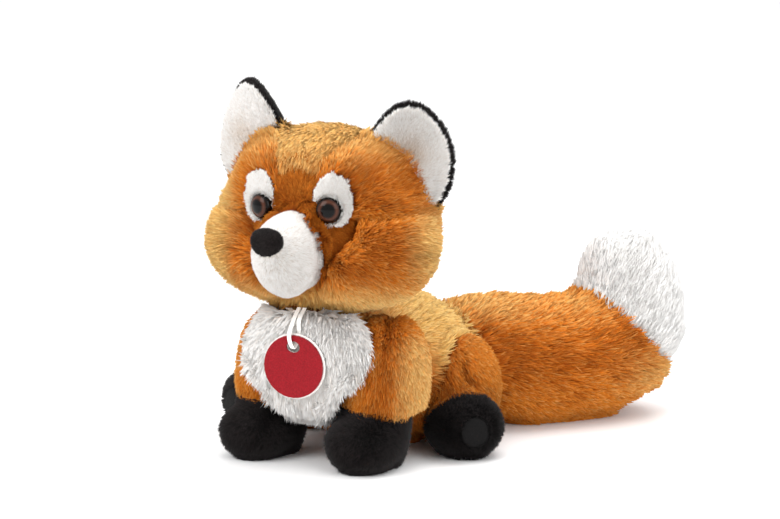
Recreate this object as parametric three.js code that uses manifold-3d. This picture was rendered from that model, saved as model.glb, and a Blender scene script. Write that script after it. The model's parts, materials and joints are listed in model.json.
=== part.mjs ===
// Plush fox: sewn and filled pieces, plastic safety eyes with locking washers, and a round felt hang tag.
// Millimetres, +Z up. The fox faces -Y and its left side is +X.
// The origin is the middle of the flat under the body, on the surface that the fox rests on.
import * as THREE from 'three';
import { mergeVertices } from 'three/addons/utils/BufferGeometryUtils.js';
import Module from 'manifold-3d';

const wasm = await Module();
wasm.setup();

// Driving dimensions

// Clear space between pieces that are sewn to each other, and how deep the floor presses a filled piece flat.
const seamGap = 0.4;
const floorPress = 0.5;
// How far a cutting solid runs past what it cuts, and the room that the bib keeps from what swings past it.
const overrun = 40;
const bibRoom = 1.7;

// Body: from the chest in front of the origin to the rump behind it.
const body = {
  chestReach: 80,
  rumpReach: 48,
  halfWidth: 46,
  halfHeight: 39,
};
// The height of the middle line, and the half width and height, at even steps from chest to rump.
const bodyMiddleShares = [1.33, 1.27, 1.16, 1.02, 0.94, 0.79, 0.64];
const bodyWidthShares = [0.78, 0.88, 0.92, 0.96, 1.04, 1.08, 1.0];
const bodyHeightShares = [0.56, 0.66, 0.81, 1.01, 1.075, 0.99, 0.8];

// Neck: a round seat on the body's front that the head turns on.
const neck = {
  forward: 56,
  underHeadMiddle: 61,
  radius: 25,
};

// Head: a wide, shallow ball with full cheeks. At rest it looks a little to the fox's left.
const head = {
  halfWidth: 57,
  halfDepth: 37,
  halfHeight: 46,
  height: 119,
  backward: 3,
  turnDegrees: 5,
  swingDegrees: 20,
};
// Swellings and hollows of the head: direction, share of the radius, and angle that it spreads over.
const headSwellShares = [
  { x: 0.88, y: -0.25, z: -0.36, rise: 0.12, spread: 0.42, paired: true },
  { x: 0.6, y: -0.66, z: -0.46, rise: 0.1, spread: 0.4, paired: true },
  { x: 0.3, y: -0.8, z: 0.5, rise: 0.06, spread: 0.34, paired: true },
  { x: 0.4, y: -0.9, z: 0.12, rise: -0.09, spread: 0.28, paired: true },
  { x: 0.5, y: -0.84, z: -0.14, rise: -0.06, spread: 0.18, paired: true },
  { x: 0.96, y: -0.1, z: 0.3, rise: -0.1, spread: 0.38, paired: true },
  { x: 0.6, y: -0.3, z: -0.7, rise: 0.07, spread: 0.4, paired: true },
  { x: 0, y: 0, z: 1, rise: -0.02, spread: 0.6, paired: false },
];

// Muzzle: an egg that stands out of the face, its chin tucked under.
const muzzle = {
  halfWidth: 17,
  halfHeight: 20,
  reach: 60,
  rootDepth: 16,
  underHeadMiddle: 14,
  chinDrop: 3.5,
};
const muzzleWidthShares = [0.9, 0.98, 0.86];
const muzzleHeightShares = [1.06, 1.04, 0.86];
const nose = {
  halfWidth: 8.4,
  halfHeight: 6.8,
  halfDepth: 4.6,
  overMuzzleMiddle: 8.5,
  sink: 0.9,
};
const noseSwellShares = [
  { x: 0, y: 0, z: -1, rise: 0.22, spread: 0.4, paired: false },
  { x: 0.75, y: 0, z: 0.6, rise: 0.12, spread: 0.35, paired: true },
];

// Eyes: a clear dome over a printed disc, on a black back with a stem, held by a washer inside the head.
const eye = {
  diameter: 12,
  domeRise: 3.4,
  rimWidth: 0.8,
  irisThickness: 0.5,
  backThickness: 1.2,
  stemDiameter: 4,
  stemLength: 12,
  washerDiameter: 15,
  washerThickness: 1.3,
  clothThickness: 4.5,
  fit: 0.3,
  overHeadMiddle: 7,
  spread: 17,
  standOff: 1.4,
};
const eyePatch = {
  halfWidth: 10.5,
  halfHeight: 12.2,
  thickness: 4.4,
  outward: 1.6,
  upward: 4,
};
const eyePatchOutlineShares = [
  [-0.82, -0.3], [-0.7, 0.5], [-0.1, 1], [0.62, 0.84], [1, 0.1], [0.86, -0.62], [0.36, -1], [-0.5, -0.86],
];

// Ears: a plush back and a thinner lining, cupped forward, on a slanting line on top of the head.
const ear = {
  halfChord: 23.5,
  height: 32,
  rootDepth: 9,
  backThickness: 8,
  liningThickness: 5,
  liningInset: 3,
  cup: 5.5,
  outward: 38,
  backward: 6,
  overHeadMiddle: 21,
  slantDegrees: 48,
  leanDegrees: 6,
  flareDegrees: 12,
  foldDegrees: 10,
};
// The right ear was sewn a little nearer the middle, and stands a little straighter.
const rightEar = {
  inward: 3,
  upward: 7.5,
  straighterDegrees: 4,
};
const earOutlineShares = [
  [-1, 0], [-1.15, 0.4], [-1.1, 0.8], [-0.8, 0.98], [-0.35, 1], [0.2, 0.9], [0.6, 0.7], [0.95, 0.36], [1, 0],
  [0.7, -1], [0, -1], [-0.7, -1],
];

// Chest bib: a heart of long pile on the front of the body.
const bib = {
  halfWidth: 36,
  halfHeight: 28,
  halfDepth: 15.5,
  forward: 68.5,
  height: 50,
};
const bibSwellShares = [
  { x: 0.7, y: 0, z: 0.7, rise: 0.04, spread: 0.5, paired: true },
  { x: 0.8, y: 0, z: -0.6, rise: -0.16, spread: 0.5, paired: true },
  { x: 0, y: -0.6, z: 0.8, rise: 0.04, spread: 0.5, paired: false },
];

// Front legs: a sleeve from the shoulder down to a boot whose toe points forward.
const frontLeg = {
  forward: 51,
  height: 48,
  halfWidth: 19,
  halfDepth: 22,
  rise: 23,
  cuffHeight: 28,
  cuffHalfWidth: 17,
  runIntoBoot: 20,
  forwardDegrees: 15,
  backwardDegrees: 10,
};
// The sleeve swells above its cuff: width and depth there, as shares of the cuff's.
const sleeveWidthShare = 1.12;
const sleeveDepthShare = 1.24;
const boot = {
  halfWidth: 18.5,
  toeHalfHeight: 14.5,
  solePress: 1.5,
  toeReach: 28,
  heelReach: 15,
  forward: 6.5,
  toeOutDegrees: 3,
};
// The two front legs as they stand: how far each is from the middle,
// and how far its boot is set inward of it.
const legSpread = { left: 32, right: 29.5 };
const bootInward = { left: 4, right: -0.5 };
const bootWidthShares = [0.86, 0.94, 1];
const bootHeightShares = [0.9, 1, 1];

// Hind legs: a round haunch on the flank, and a foot with a smooth sole.
const haunch = {
  insideFlank: 4,
  backward: 1,
  halfWidth: 18,
  radius: 28,
  forwardDegrees: 12,
  backwardDegrees: 8,
};
const foot = {
  halfWidth: 18.5,
  halfHeight: 16,
  solePress: 1,
  reach: 31,
  toeOutDegrees: { left: 45, right: 12 },
};
const footLineShares = [0.5, -0.25, -1];
const footSizeShares = [0.8, 1, 1];
// The right hind leg is spread at its hip as the fox sits. Its foot sticks out farther, but turns out less.
const hindSpreadDegrees = { left: 0, right: 10 };
const footOutward = { left: 4, right: 17 };
const footForward = { left: 9, right: 5 };
const sole = {
  halfWidth: 8,
  halfHeight: 8.5,
  thickness: 3,
};

// Tail: it leaves the rump to the fox's left, lies on the floor and curls up at its white end.
const tail = {
  towardLeftDegrees: 37,
  lineOffset: 5.5,
  rootReach: 20,
  length: 132,
  halfThickness: 33,
  hingeBackward: 26,
  hingeLeft: 4,
  towardRightDegrees: 30,
  fartherLeftDegrees: 3,
};
// Places of the tail's middle line: share of its length, and height as a share of its half thickness.
const tailLineShares = [
  [0, 1.3], [0.22, 1.25], [0.42, 0.98], [0.63, 0.95],
  [0.81, 1.03], [0.905, 1.4], [0.915, 1.95], [0.875, 2.88],
];
const tailHeightShares = [0.7, 0.92, 1.03, 0.98, 0.98, 1.03, 1.05, 1];
const tailWidthShares = [0.6, 0.82, 0.96, 1.02, 1.04, 1.08, 1, 0.92];
// The seam between tail and tip: its place on that line, and how steeply it faces up.
const tipSeamShare = 0.87;
const tipSeamRiseShare = 1.24;
const tipSeamDegrees = 47;

// Hang tag: a felt disc on a stiffer white disc, hung by a ribbon loop from the neck seam.
const tag = {
  diameter: 30,
  rimWidth: 0.7,
  feltThickness: 1.2,
  backThickness: 0.8,
  slotWidth: 7,
  slotHeight: 5.4,
  slotDrop: 5.6,
  rimGap: 0.3,
  turnDegrees: 8,
};
const loop = {
  diameter: 2,
  drop: 17,
  spread: 5,
  height: 77,
  forward: 77,
  tagForward: 9.6,
  reach: 2.9,
};
// The ribbon's route, down in front of the tag, through its slot and up behind it:
// shares of half its spread, of the way forward, of the reach past the tag, and of the drop.
const ribbonShares = [
  [-1, 0, 0, 0], [-1, 0.72, 0, 0.3], [-0.56, 1, 1, 0.8], [0, 1.07, 0, 1.04],
  [0.56, 1, -1, 0.8], [1, 0.72, 0, 0.3], [1, 0, 0, 0],
];

// Colours and finishes
const finishes = {
  plushOrange: { color: '#b8691f', roughness: 0.95 },
  plushWhite: { color: '#ebe7e0', roughness: 0.95 },
  plushBlack: { color: '#1d1a19', roughness: 0.95 },
  veloursWhite: { color: '#efebe6', roughness: 0.9 },
  veloursBlack: { color: '#232021', roughness: 0.85 },
  feltBlack: { color: '#1a1718', roughness: 0.92 },
  feltRed: { color: '#c4202c', roughness: 0.9 },
  cardWhite: { color: '#f1efec', roughness: 0.8 },
  ribbonWhite: { color: '#f4f1ec', roughness: 0.55 },
  clearPlastic: { color: '#f3f3f3', roughness: 0.08 },
  irisPrint: { color: '#4a2a1a', roughness: 0.4 },
  blackPlastic: { color: '#151314', roughness: 0.3 },
  whitePlastic: { color: '#e6e4df', roughness: 0.5 },
};

// Solids

// A closed solid from a three.js geometry, with its faces turned outward.
function solidOf(geometry) {
  const bare = geometry.clone();
  bare.deleteAttribute('normal');
  bare.deleteAttribute('uv');
  const merged = mergeVertices(bare);
  const position = merged.getAttribute('position');
  const corners = Array.from(merged.index.array);
  const [a, b, c] = [new THREE.Vector3(), new THREE.Vector3(), new THREE.Vector3()];
  let volume = 0;
  for (let i = 0; i < corners.length; i += 3) {
    a.fromBufferAttribute(position, corners[i]);
    b.fromBufferAttribute(position, corners[i + 1]);
    c.fromBufferAttribute(position, corners[i + 2]);
    volume += a.dot(b.cross(c));
  }
  if (volume < 0) corners.reverse();
  return new wasm.Manifold(new wasm.Mesh({
    numProp: 3,
    vertProperties: new Float32Array(position.array),
    triVerts: new Uint32Array(corners),
  }));
}

function geometryOf(solid) {
  const mesh = solid.getMesh();
  const geometry = new THREE.BufferGeometry();
  geometry.setAttribute('position', new THREE.BufferAttribute(mesh.vertProperties, 3));
  geometry.setIndex(new THREE.BufferAttribute(mesh.triVerts, 1));
  geometry.computeVertexNormals();
  return geometry;
}

// What a cut leaves of a piece: its largest part, without the slivers.
function largestPart(solid) {
  return solid.decompose().reduce((best, part) => (part.volume() > best.volume() ? part : best));
}

function mirrored(geometry, side) {
  return geometry.clone().scale(side, 1, 1);
}

function degrees(angle) {
  return THREE.MathUtils.degToRad(angle);
}

// A smooth value at a share along a list of evenly spaced ones.
function along(values, share) {
  const points = values.map((value, step) => new THREE.Vector2(step, value));
  return new THREE.SplineCurve(points).getPoint(share).y;
}

// A filled form on a spine: a ball whose rings take their middle, width and height from the spine.
// A fullness under 1 makes its ends blunter. It can be grown outward to cut its neighbours.
function filledForm(form, grow = 0) {
  const { spine, halfWidths, halfHeights, up, fullness = 0.8, around = 20, rings = 14 } = form;
  const line = new THREE.CatmullRomCurve3(spine);
  const geometry = new THREE.SphereGeometry(1, around, rings);
  const position = geometry.getAttribute('position');
  const point = new THREE.Vector3();
  for (let i = 0; i < position.count; i += 1) {
    point.fromBufferAttribute(position, i);
    const share = THREE.MathUtils.clamp((1 - point.y) / 2, 0, 1);
    const ring = Math.hypot(point.x, point.z);
    const swell = ring > 1e-6 ? ring ** fullness / ring : 0;
    const middle = line.getPointAt(share);
    const ahead = line.getTangentAt(share);
    const across = new THREE.Vector3().crossVectors(ahead, up).normalize();
    const lift = new THREE.Vector3().crossVectors(across, ahead).normalize();
    middle.addScaledVector(ahead, -point.y * grow);
    middle.addScaledVector(across, point.x * (swell * along(halfWidths, share) + grow));
    middle.addScaledVector(lift, point.z * (swell * along(halfHeights, share) + grow));
    position.setXYZ(i, middle.x, middle.y, middle.z);
  }
  return geometry;
}

// A ball with its own half sizes, swollen and hollowed in the directions given.
function swollenBall({ centre, halfSizes, swells = [], around = 24, rings = 16 }, grow = 0) {
  const geometry = new THREE.SphereGeometry(1, around, rings).rotateX(Math.PI / 2);
  const position = geometry.getAttribute('position');
  const unit = new THREE.Vector3();
  for (let i = 0; i < position.count; i += 1) {
    unit.fromBufferAttribute(position, i).normalize();
    let radius = 1;
    for (const swell of swells) {
      for (const side of swell.paired ? [1, -1] : [1]) {
        const toward = new THREE.Vector3(side * swell.x, swell.y, swell.z).normalize();
        radius += swell.rise * Math.exp(-((unit.angleTo(toward) / swell.spread) ** 2));
      }
    }
    const point = unit.clone().multiplyScalar(radius).multiply(halfSizes);
    point.addScaledVector(unit, grow).add(centre);
    position.setXYZ(i, point.x, point.y, point.z);
  }
  return geometry;
}

// A sewn pad: an outline in the X-Z plane, thickest in its middle and cupped toward -Y.
function sewnPad({ outline, thickness, cup = 0, cupReach = 1, around = 24, rings = 8 }, grow = 0) {
  const edge = new THREE.CatmullRomCurve3(outline.map(([x, z]) => new THREE.Vector3(x, 0, z)), true);
  const middle = outline.reduce((sum, [x, z]) => sum.add(new THREE.Vector3(x, 0, z)), new THREE.Vector3());
  middle.divideScalar(outline.length);
  const geometry = new THREE.SphereGeometry(1, around, rings);
  const position = geometry.getAttribute('position');
  const point = new THREE.Vector3();
  for (let i = 0; i < position.count; i += 1) {
    point.fromBufferAttribute(position, i);
    const ring = Math.min(Math.hypot(point.x, point.z), 1);
    const turn = Math.atan2(point.z, point.x) / (2 * Math.PI);
    const rim = edge.getPoint((turn + 1) % 1).sub(middle);
    rim.setLength(rim.length() + grow);
    const place = middle.clone().addScaledVector(rim, ring ** 0.8);
    const rise = point.y * (thickness / 2 + grow) - cup * (place.x / cupReach) ** 2;
    position.setXYZ(i, place.x, rise, place.z);
  }
  return geometry;
}

// A turned piece on the Z axis, from its closed half section.
function turned(section, segments = 16) {
  const profile = section.map(([x, y]) => new THREE.Vector2(x, y));
  return new THREE.LatheGeometry(profile, segments).rotateX(Math.PI / 2);
}

// A box that is larger than the fox, over the plane Z = 0 (direction 1) or under it (-1),
// and past that plane by a reach.
const spaceSize = 2 * (tail.rootReach + tail.length + body.chestReach + overrun);

function halfSpace(direction, reach) {
  const box = new THREE.BoxGeometry(spaceSize, spaceSize, spaceSize);
  return box.translate(0, 0, direction * (spaceSize / 2 - reach));
}

const fox = new THREE.Group();
fox.name = 'plush_fox';

// A group at a joint: its place and turn in its parent group.
function jointGroup(parent, place, turn = new THREE.Quaternion()) {
  const group = new THREE.Group();
  group.position.copy(place);
  group.quaternion.copy(turn);
  parent.add(group);
  group.updateWorldMatrix(true, false);
  return group;
}

// A solid given in the fox's space, brought into a group that has turned by an angle about its own axis.
function seenFrom(group, solid, axis, angle) {
  const swing = new THREE.Matrix4().makeRotationAxis(axis, angle);
  const matrix = group.matrixWorld.clone().multiply(swing).invert();
  return solid.transform(matrix.elements);
}

// The largest turn between two cuts of a swept space.
const sweepStepDegrees = 13;

// A piece of a moving group, cut clear of a larger neighbour at every angle of its swing.
function clearOf(piece, group, neighbour, axis, fromDegrees, toDegrees) {
  const steps = Math.max(1, Math.ceil((toDegrees - fromDegrees) / sweepStepDegrees));
  let clear = piece;
  for (let step = 0; step <= steps; step += 1) {
    const angle = degrees(fromDegrees + ((toDegrees - fromDegrees) * step) / steps);
    clear = clear.subtract(seenFrom(group, neighbour, axis, angle));
  }
  return largestPart(clear);
}

// The space that a solid of a moving group takes up as the group swings, in the fox's space.
function sweptBy(solid, group, axis, fromDegrees, toDegrees) {
  const steps = Math.max(1, Math.ceil((toDegrees - fromDegrees) / sweepStepDegrees));
  let space = null;
  for (let step = 0; step <= steps; step += 1) {
    const angle = degrees(fromDegrees + ((toDegrees - fromDegrees) * step) / steps);
    const swing = new THREE.Matrix4().makeRotationAxis(axis, angle).premultiply(group.matrixWorld);
    const placed = solid.transform(swing.elements);
    space = space ? space.add(placed) : placed;
  }
  return space;
}

// A piece of a group, pressed flat on the floor.
function pressed(piece, group) {
  return largestPart(piece.subtract(seenFrom(group, solidOf(halfSpace(-1, 0)), axisZ, 0)));
}

function addPiece(group, name, solid, finish) {
  const material = new THREE.MeshStandardMaterial({ metalness: 0, ...finishes[finish] });
  const mesh = new THREE.Mesh(geometryOf(solid), material);
  mesh.name = name;
  group.add(mesh);
}

const sides = [['left', 1], ['right', -1]];
const axisX = new THREE.Vector3(1, 0, 0);
const axisY = new THREE.Vector3(0, 1, 0);
const axisZ = new THREE.Vector3(0, 0, 1);

// Body, with the round seat of the neck on it
function trunkSolid(grow = 0) {
  const length = body.chestReach + body.rumpReach;
  const steps = bodyMiddleShares.length - 1;
  return solidOf(filledForm({
    spine: bodyMiddleShares.map((share, step) => {
      const back = (length * step) / steps - body.chestReach;
      return new THREE.Vector3(0, back, body.halfHeight * share - floorPress);
    }),
    halfWidths: bodyWidthShares.map((share) => body.halfWidth * share),
    halfHeights: bodyHeightShares.map((share) => body.halfHeight * share),
    up: axisZ,
    around: 26,
    rings: 16,
  }, grow));
}

const neckHeight = head.height - neck.underHeadMiddle;

function neckSolid(grow = 0) {
  const seat = new THREE.SphereGeometry(neck.radius + grow, 24, 12).rotateX(Math.PI / 2);
  return solidOf(seat.translate(0, -neck.forward, neckHeight));
}

const bodyCutter = trunkSolid(seamGap).add(neckSolid(seamGap));
addPiece(fox, 'torso', pressed(trunkSolid().add(neckSolid()), fox), 'plushOrange');

// Head: its group stands on the neck axis, at the height of the neck seat
const headGroup = jointGroup(
  fox,
  new THREE.Vector3(0, -neck.forward, neckHeight),
  new THREE.Quaternion().setFromAxisAngle(axisZ, degrees(head.turnDegrees)),
);
const headMiddle = new THREE.Vector3(0, head.backward, neck.underHeadMiddle);

function headSolid(grow = 0, detail = { around: 32, rings: 20 }) {
  return solidOf(swollenBall({
    centre: headMiddle,
    halfSizes: new THREE.Vector3(head.halfWidth, head.halfDepth, head.halfHeight),
    swells: headSwellShares,
    around: detail.around,
    rings: detail.rings,
  }, grow));
}

// How far the head's face reaches forward at a place across and over its middle.
function faceReach(across, over) {
  const face = new THREE.Mesh(geometryOf(headSolid()), new THREE.MeshBasicMaterial());
  const start = new THREE.Vector3(across, -head.halfDepth - overrun, headMiddle.z + over);
  return new THREE.Raycaster(start, axisY).intersectObject(face)[0];
}

// Muzzle and nose
const muzzleMiddle = new THREE.Vector3(
  0,
  -(muzzle.reach + muzzle.rootDepth) / 2,
  headMiddle.z - muzzle.underHeadMiddle,
);

function muzzleSolid(grow = 0) {
  const root = new THREE.Vector3(0, -muzzle.rootDepth, muzzleMiddle.z - muzzle.chinDrop);
  const front = new THREE.Vector3(0, -muzzle.reach, muzzleMiddle.z + muzzle.chinDrop);
  return solidOf(filledForm({
    spine: [root, muzzleMiddle, front],
    halfWidths: muzzleWidthShares.map((share) => muzzle.halfWidth * share),
    halfHeights: muzzleHeightShares.map((share) => muzzle.halfHeight * share),
    up: axisZ,
    fullness: 0.85,
    around: 20,
    rings: 14,
  }, grow));
}

const muzzleCutter = muzzleSolid(seamGap);
const muzzlePiece = largestPart(muzzleSolid().subtract(headSolid(seamGap)).subtract(
  seenFrom(headGroup, bodyCutter, axisZ, 0),
));

const nosePiece = solidOf(swollenBall({
  centre: new THREE.Vector3(0, nose.sink - muzzle.reach, muzzleMiddle.z + nose.overMuzzleMiddle),
  halfSizes: new THREE.Vector3(nose.halfWidth, nose.halfDepth, nose.halfHeight),
  swells: noseSwellShares,
  around: 14,
  rings: 8,
})).subtract(muzzleCutter);

// Eyes: each stands on its own axis, which points straight out of the face
function eyeGroup(side) {
  const hit = faceReach(eye.spread, eye.overHeadMiddle);
  const outward = hit.face.normal.clone();
  const place = hit.point.clone().addScaledVector(outward, eye.standOff);
  place.x *= side;
  outward.x *= side;
  const turn = new THREE.Quaternion().setFromUnitVectors(axisZ, outward);
  return jointGroup(headGroup, place, turn);
}

const eyeRadius = eye.diameter / 2;
const stemRadius = eye.stemDiameter / 2;
const washerRadius = eye.washerDiameter / 2;
const discRadius = eyeRadius - eye.rimWidth - eye.fit;

const lensSection = [[0, eye.irisThickness + eye.fit]];
lensSection.push([eyeRadius - eye.rimWidth, eye.irisThickness + eye.fit]);
lensSection.push([eyeRadius - eye.rimWidth, -eye.fit], [eyeRadius, -eye.fit]);
const domeSteps = 4;
for (let step = 0; step <= domeSteps; step += 1) {
  const angle = (Math.PI / 2) * (step / domeSteps);
  lensSection.push([eyeRadius * Math.cos(angle), eye.irisThickness + eye.domeRise * Math.sin(angle)]);
}

const backTop = -2 * eye.fit;
const stemSection = [
  [0, backTop], [eyeRadius, backTop], [eyeRadius, backTop - eye.backThickness / 2],
  [stemRadius + eye.backThickness, backTop - eye.backThickness], [stemRadius, backTop - eye.backThickness],
  [stemRadius, -eye.stemLength + stemRadius / 2], [stemRadius / 2, -eye.stemLength], [0, -eye.stemLength],
];
const discSection = [[0, 0], [discRadius, 0], [discRadius, eye.irisThickness], [0, eye.irisThickness]];
const washerTop = -eye.clothThickness;
const washerSection = [
  [stemRadius + eye.fit, washerTop], [washerRadius, washerTop - eye.washerThickness / 3],
  [washerRadius, washerTop - eye.washerThickness], [stemRadius + eye.fit, washerTop - eye.washerThickness],
  [stemRadius + eye.fit, washerTop],
];
const pocketSection = [
  [0, eye.domeRise], [stemRadius + eye.fit, eye.domeRise], [stemRadius + eye.fit, washerTop + eye.fit],
  [washerRadius + eye.fit, washerTop + eye.fit - eye.washerThickness / 3],
  [washerRadius + eye.fit, washerTop - eye.washerThickness - eye.fit],
  [stemRadius + eye.fit, -eye.stemLength - eye.fit], [0, -eye.stemLength - eye.fit],
];
const seatSection = [
  [0, overrun], [eyeRadius + eye.fit, overrun],
  [eyeRadius + eye.fit, backTop - eye.backThickness / 2 - eye.fit],
  [stemRadius + eye.backThickness, backTop - eye.backThickness - eye.fit],
  [0, backTop - eye.backThickness - eye.fit],
];

let headPiece = headSolid();
for (const [sideName, side] of sides) {
  const group = eyeGroup(side);
  const toHead = group.matrix;
  const pocket = solidOf(turned(pocketSection)).transform(toHead.elements);
  const seat = solidOf(turned(seatSection)).transform(toHead.elements);
  headPiece = headPiece.subtract(pocket).subtract(seat);
  addPiece(group, `eye_lens_${sideName}`, solidOf(turned(lensSection)), 'clearPlastic');
  addPiece(group, `eye_iris_${sideName}`, solidOf(turned(discSection)), 'irisPrint');
  addPiece(group, `eye_stem_${sideName}`, solidOf(turned(stemSection)), 'blackPlastic');
  addPiece(group, `eye_washer_${sideName}`, solidOf(turned(washerSection)), 'whitePlastic');

  const outline = eyePatchOutlineShares.map(([x, z]) => [
    side * (eyePatch.outward + eyePatch.halfWidth * x), eyePatch.upward + eyePatch.halfHeight * z,
  ]);
  const flat = sewnPad({ outline, thickness: eyePatch.thickness, around: 18, rings: 6 });
  const facing = new THREE.Vector3(0, 0, 1).applyQuaternion(group.quaternion);
  const across = new THREE.Vector3().crossVectors(facing, axisZ).normalize().negate();
  const lift = new THREE.Vector3().crossVectors(facing, across).normalize();
  const frame = new THREE.Matrix4().makeBasis(across, facing.clone().negate(), lift);
  frame.setPosition(group.position.clone().addScaledVector(facing, -eye.standOff));
  const patch = solidOf(flat.applyMatrix4(frame)).subtract(headSolid(seamGap)).subtract(muzzleCutter);
  addPiece(headGroup, `eye_patch_${sideName}`, largestPart(patch.subtract(seat)), 'veloursWhite');
}

headPiece = headPiece.subtract(seenFrom(headGroup, neckSolid(seamGap), axisZ, 0));
addPiece(headGroup, 'head', clearOf(
  headPiece, headGroup, trunkSolid(seamGap), axisZ, -head.swingDegrees, head.swingDegrees,
), 'plushOrange');
addPiece(headGroup, 'muzzle', muzzlePiece, 'veloursWhite');
addPiece(headGroup, 'nose', largestPart(nosePiece), 'feltBlack');

// Ears: X runs down the slanting base line, Z stands up from it
for (const [sideName, side] of sides) {
  const slant = degrees(ear.slantDegrees);
  const flare = degrees(ear.flareDegrees);
  const chord = new THREE.Vector3(Math.cos(slant), Math.sin(flare), -Math.sin(slant)).normalize();
  const stand = new THREE.Vector3(Math.sin(slant), Math.tan(degrees(ear.leanDegrees)), Math.cos(slant));
  stand.addScaledVector(chord, -stand.dot(chord)).normalize();
  const back = new THREE.Vector3().crossVectors(stand, chord);
  const frame = new THREE.Matrix4().makeBasis(chord, back, stand);
  const turn = new THREE.Quaternion().setFromRotationMatrix(frame);
  const place = new THREE.Vector3(ear.outward, ear.backward, headMiddle.z + ear.overHeadMiddle);
  if (side < 0) {
    turn.set(turn.x, -turn.y, -turn.z, turn.w);
    turn.premultiply(new THREE.Quaternion().setFromAxisAngle(axisY, degrees(rightEar.straighterDegrees)));
    place.set(rightEar.inward - ear.outward, place.y, place.z + rightEar.upward);
  }
  const group = jointGroup(headGroup, place, turn);
  const inset = (amount, [x, z]) => [
    x * (ear.halfChord - amount), z * (z > 0 ? ear.height - amount : ear.rootDepth),
  ];
  const pad = (amount, thickness, forward, grow = 0) => solidOf(mirrored(sewnPad({
    outline: earOutlineShares.map((point) => inset(amount, point)),
    thickness,
    cup: ear.cup,
    cupReach: ear.halfChord,
    around: 20,
    rings: 6,
  }, grow).translate(0, -forward, 0), side));
  const backPad = pad(0, ear.backThickness, 0);
  const liningForward = (ear.backThickness + ear.liningThickness) / 4;
  const liningPad = pad(ear.liningInset, ear.liningThickness, liningForward).subtract(
    pad(0, ear.backThickness, 0, seamGap),
  );
  const headInFox = headSolid(seamGap).transform(headGroup.matrixWorld.elements);
  const swing = [headInFox, axisX, -ear.foldDegrees, ear.foldDegrees];
  addPiece(group, `ear_back_${sideName}`, clearOf(backPad, group, ...swing), 'plushBlack');
  addPiece(group, `ear_lining_${sideName}`, clearOf(liningPad, group, ...swing), 'veloursWhite');
}

// Front legs
// The leg's forms are made finely for the pieces, and coarsely for the space that their swing needs.
const fineDetail = { around: 16, rings: 12 };
const coarseDetail = { around: 10, rings: 8 };

function sleeveSolid(sideName, side, grow = 0, detail = fineDetail) {
  const low = frontLeg.cuffHeight - frontLeg.height - frontLeg.runIntoBoot;
  const { halfWidth, halfDepth, cuffHalfWidth } = frontLeg;
  return solidOf(mirrored(filledForm({
    spine: [
      new THREE.Vector3(0, 0, frontLeg.rise), new THREE.Vector3(0, 0, 0),
      new THREE.Vector3(-bootInward[sideName], -boot.forward / 2, low),
    ],
    halfWidths: [halfWidth, halfWidth, cuffHalfWidth * sleeveWidthShare, cuffHalfWidth],
    halfHeights: [halfDepth, halfDepth, cuffHalfWidth * sleeveDepthShare, cuffHalfWidth],
    up: axisY,
    fullness: 0.8,
    around: detail.around,
    rings: detail.rings,
  }, grow), side));
}

function bootSolid(sideName, side, grow = 0, detail = fineDetail) {
  const inward = bootInward[sideName];
  const floor = -frontLeg.height;
  const cuff = frontLeg.cuffHeight - frontLeg.height;
  const shaft = filledForm({
    spine: [
      new THREE.Vector3(-inward, -boot.forward, cuff + frontLeg.runIntoBoot),
      new THREE.Vector3(-inward, -boot.forward, floor - floorPress),
    ],
    halfWidths: [frontLeg.cuffHalfWidth, frontLeg.cuffHalfWidth],
    halfHeights: [frontLeg.cuffHalfWidth, frontLeg.cuffHalfWidth],
    up: axisY,
    fullness: 0.35,
    around: detail.around,
    rings: detail.rings,
  }, grow);
  const toeMiddle = floor + boot.toeHalfHeight - boot.solePress;
  const toe = filledForm({
    spine: [
      new THREE.Vector3(-inward, boot.heelReach - boot.forward, toeMiddle),
      new THREE.Vector3(-inward, -boot.forward, toeMiddle),
      new THREE.Vector3(-inward, -boot.toeReach - boot.forward, toeMiddle),
    ],
    halfWidths: bootWidthShares.map((share) => boot.halfWidth * share),
    halfHeights: bootHeightShares.map((share) => boot.toeHalfHeight * share),
    up: axisZ,
    fullness: 0.6,
    around: detail.around,
    rings: detail.rings,
  }, grow).rotateZ(degrees(boot.toeOutDegrees));
  return solidOf(mirrored(shaft, side)).add(solidOf(mirrored(toe, side)));
}

const bibNeighbours = [sweptBy(
  headSolid(bibRoom, { around: 20, rings: 14 }), headGroup, axisZ, -head.swingDegrees, head.swingDegrees,
)];
for (const [sideName, side] of sides) {
  const shoulder = new THREE.Vector3(side * legSpread[sideName], -frontLeg.forward, frontLeg.height);
  const group = jointGroup(fox, shoulder);
  const cuff = frontLeg.cuffHeight - frontLeg.height;
  const above = solidOf(halfSpace(1, seamGap / 2).translate(0, 0, cuff));
  const below = solidOf(halfSpace(-1, seamGap / 2).translate(0, 0, cuff));
  const swing = [bodyCutter, axisX, -frontLeg.forwardDegrees, frontLeg.backwardDegrees];
  const sleeve = clearOf(sleeveSolid(sideName, side).subtract(below), group, ...swing);
  const paw = clearOf(pressed(bootSolid(sideName, side).subtract(above), group), group, ...swing);
  addPiece(group, `front_leg_${sideName}`, sleeve, 'plushOrange');
  addPiece(group, `front_paw_${sideName}`, paw, 'plushBlack');
  const wholeLeg = sleeveSolid(sideName, side, bibRoom, coarseDetail).add(
    bootSolid(sideName, side, bibRoom, coarseDetail),
  );
  bibNeighbours.push(sweptBy(
    wholeLeg, group, axisX, -frontLeg.forwardDegrees, frontLeg.backwardDegrees,
  ));
}

// Chest bib: it lies on the body between the legs
let bibPiece = solidOf(swollenBall({
  centre: new THREE.Vector3(0, -bib.forward, bib.height),
  halfSizes: new THREE.Vector3(bib.halfWidth, bib.halfDepth, bib.halfHeight),
  swells: bibSwellShares,
  around: 22,
  rings: 12,
})).subtract(bodyCutter);
for (const neighbour of bibNeighbours) bibPiece = bibPiece.subtract(neighbour);
addPiece(fox, 'chest_bib', largestPart(bibPiece), 'plushWhite');

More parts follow.
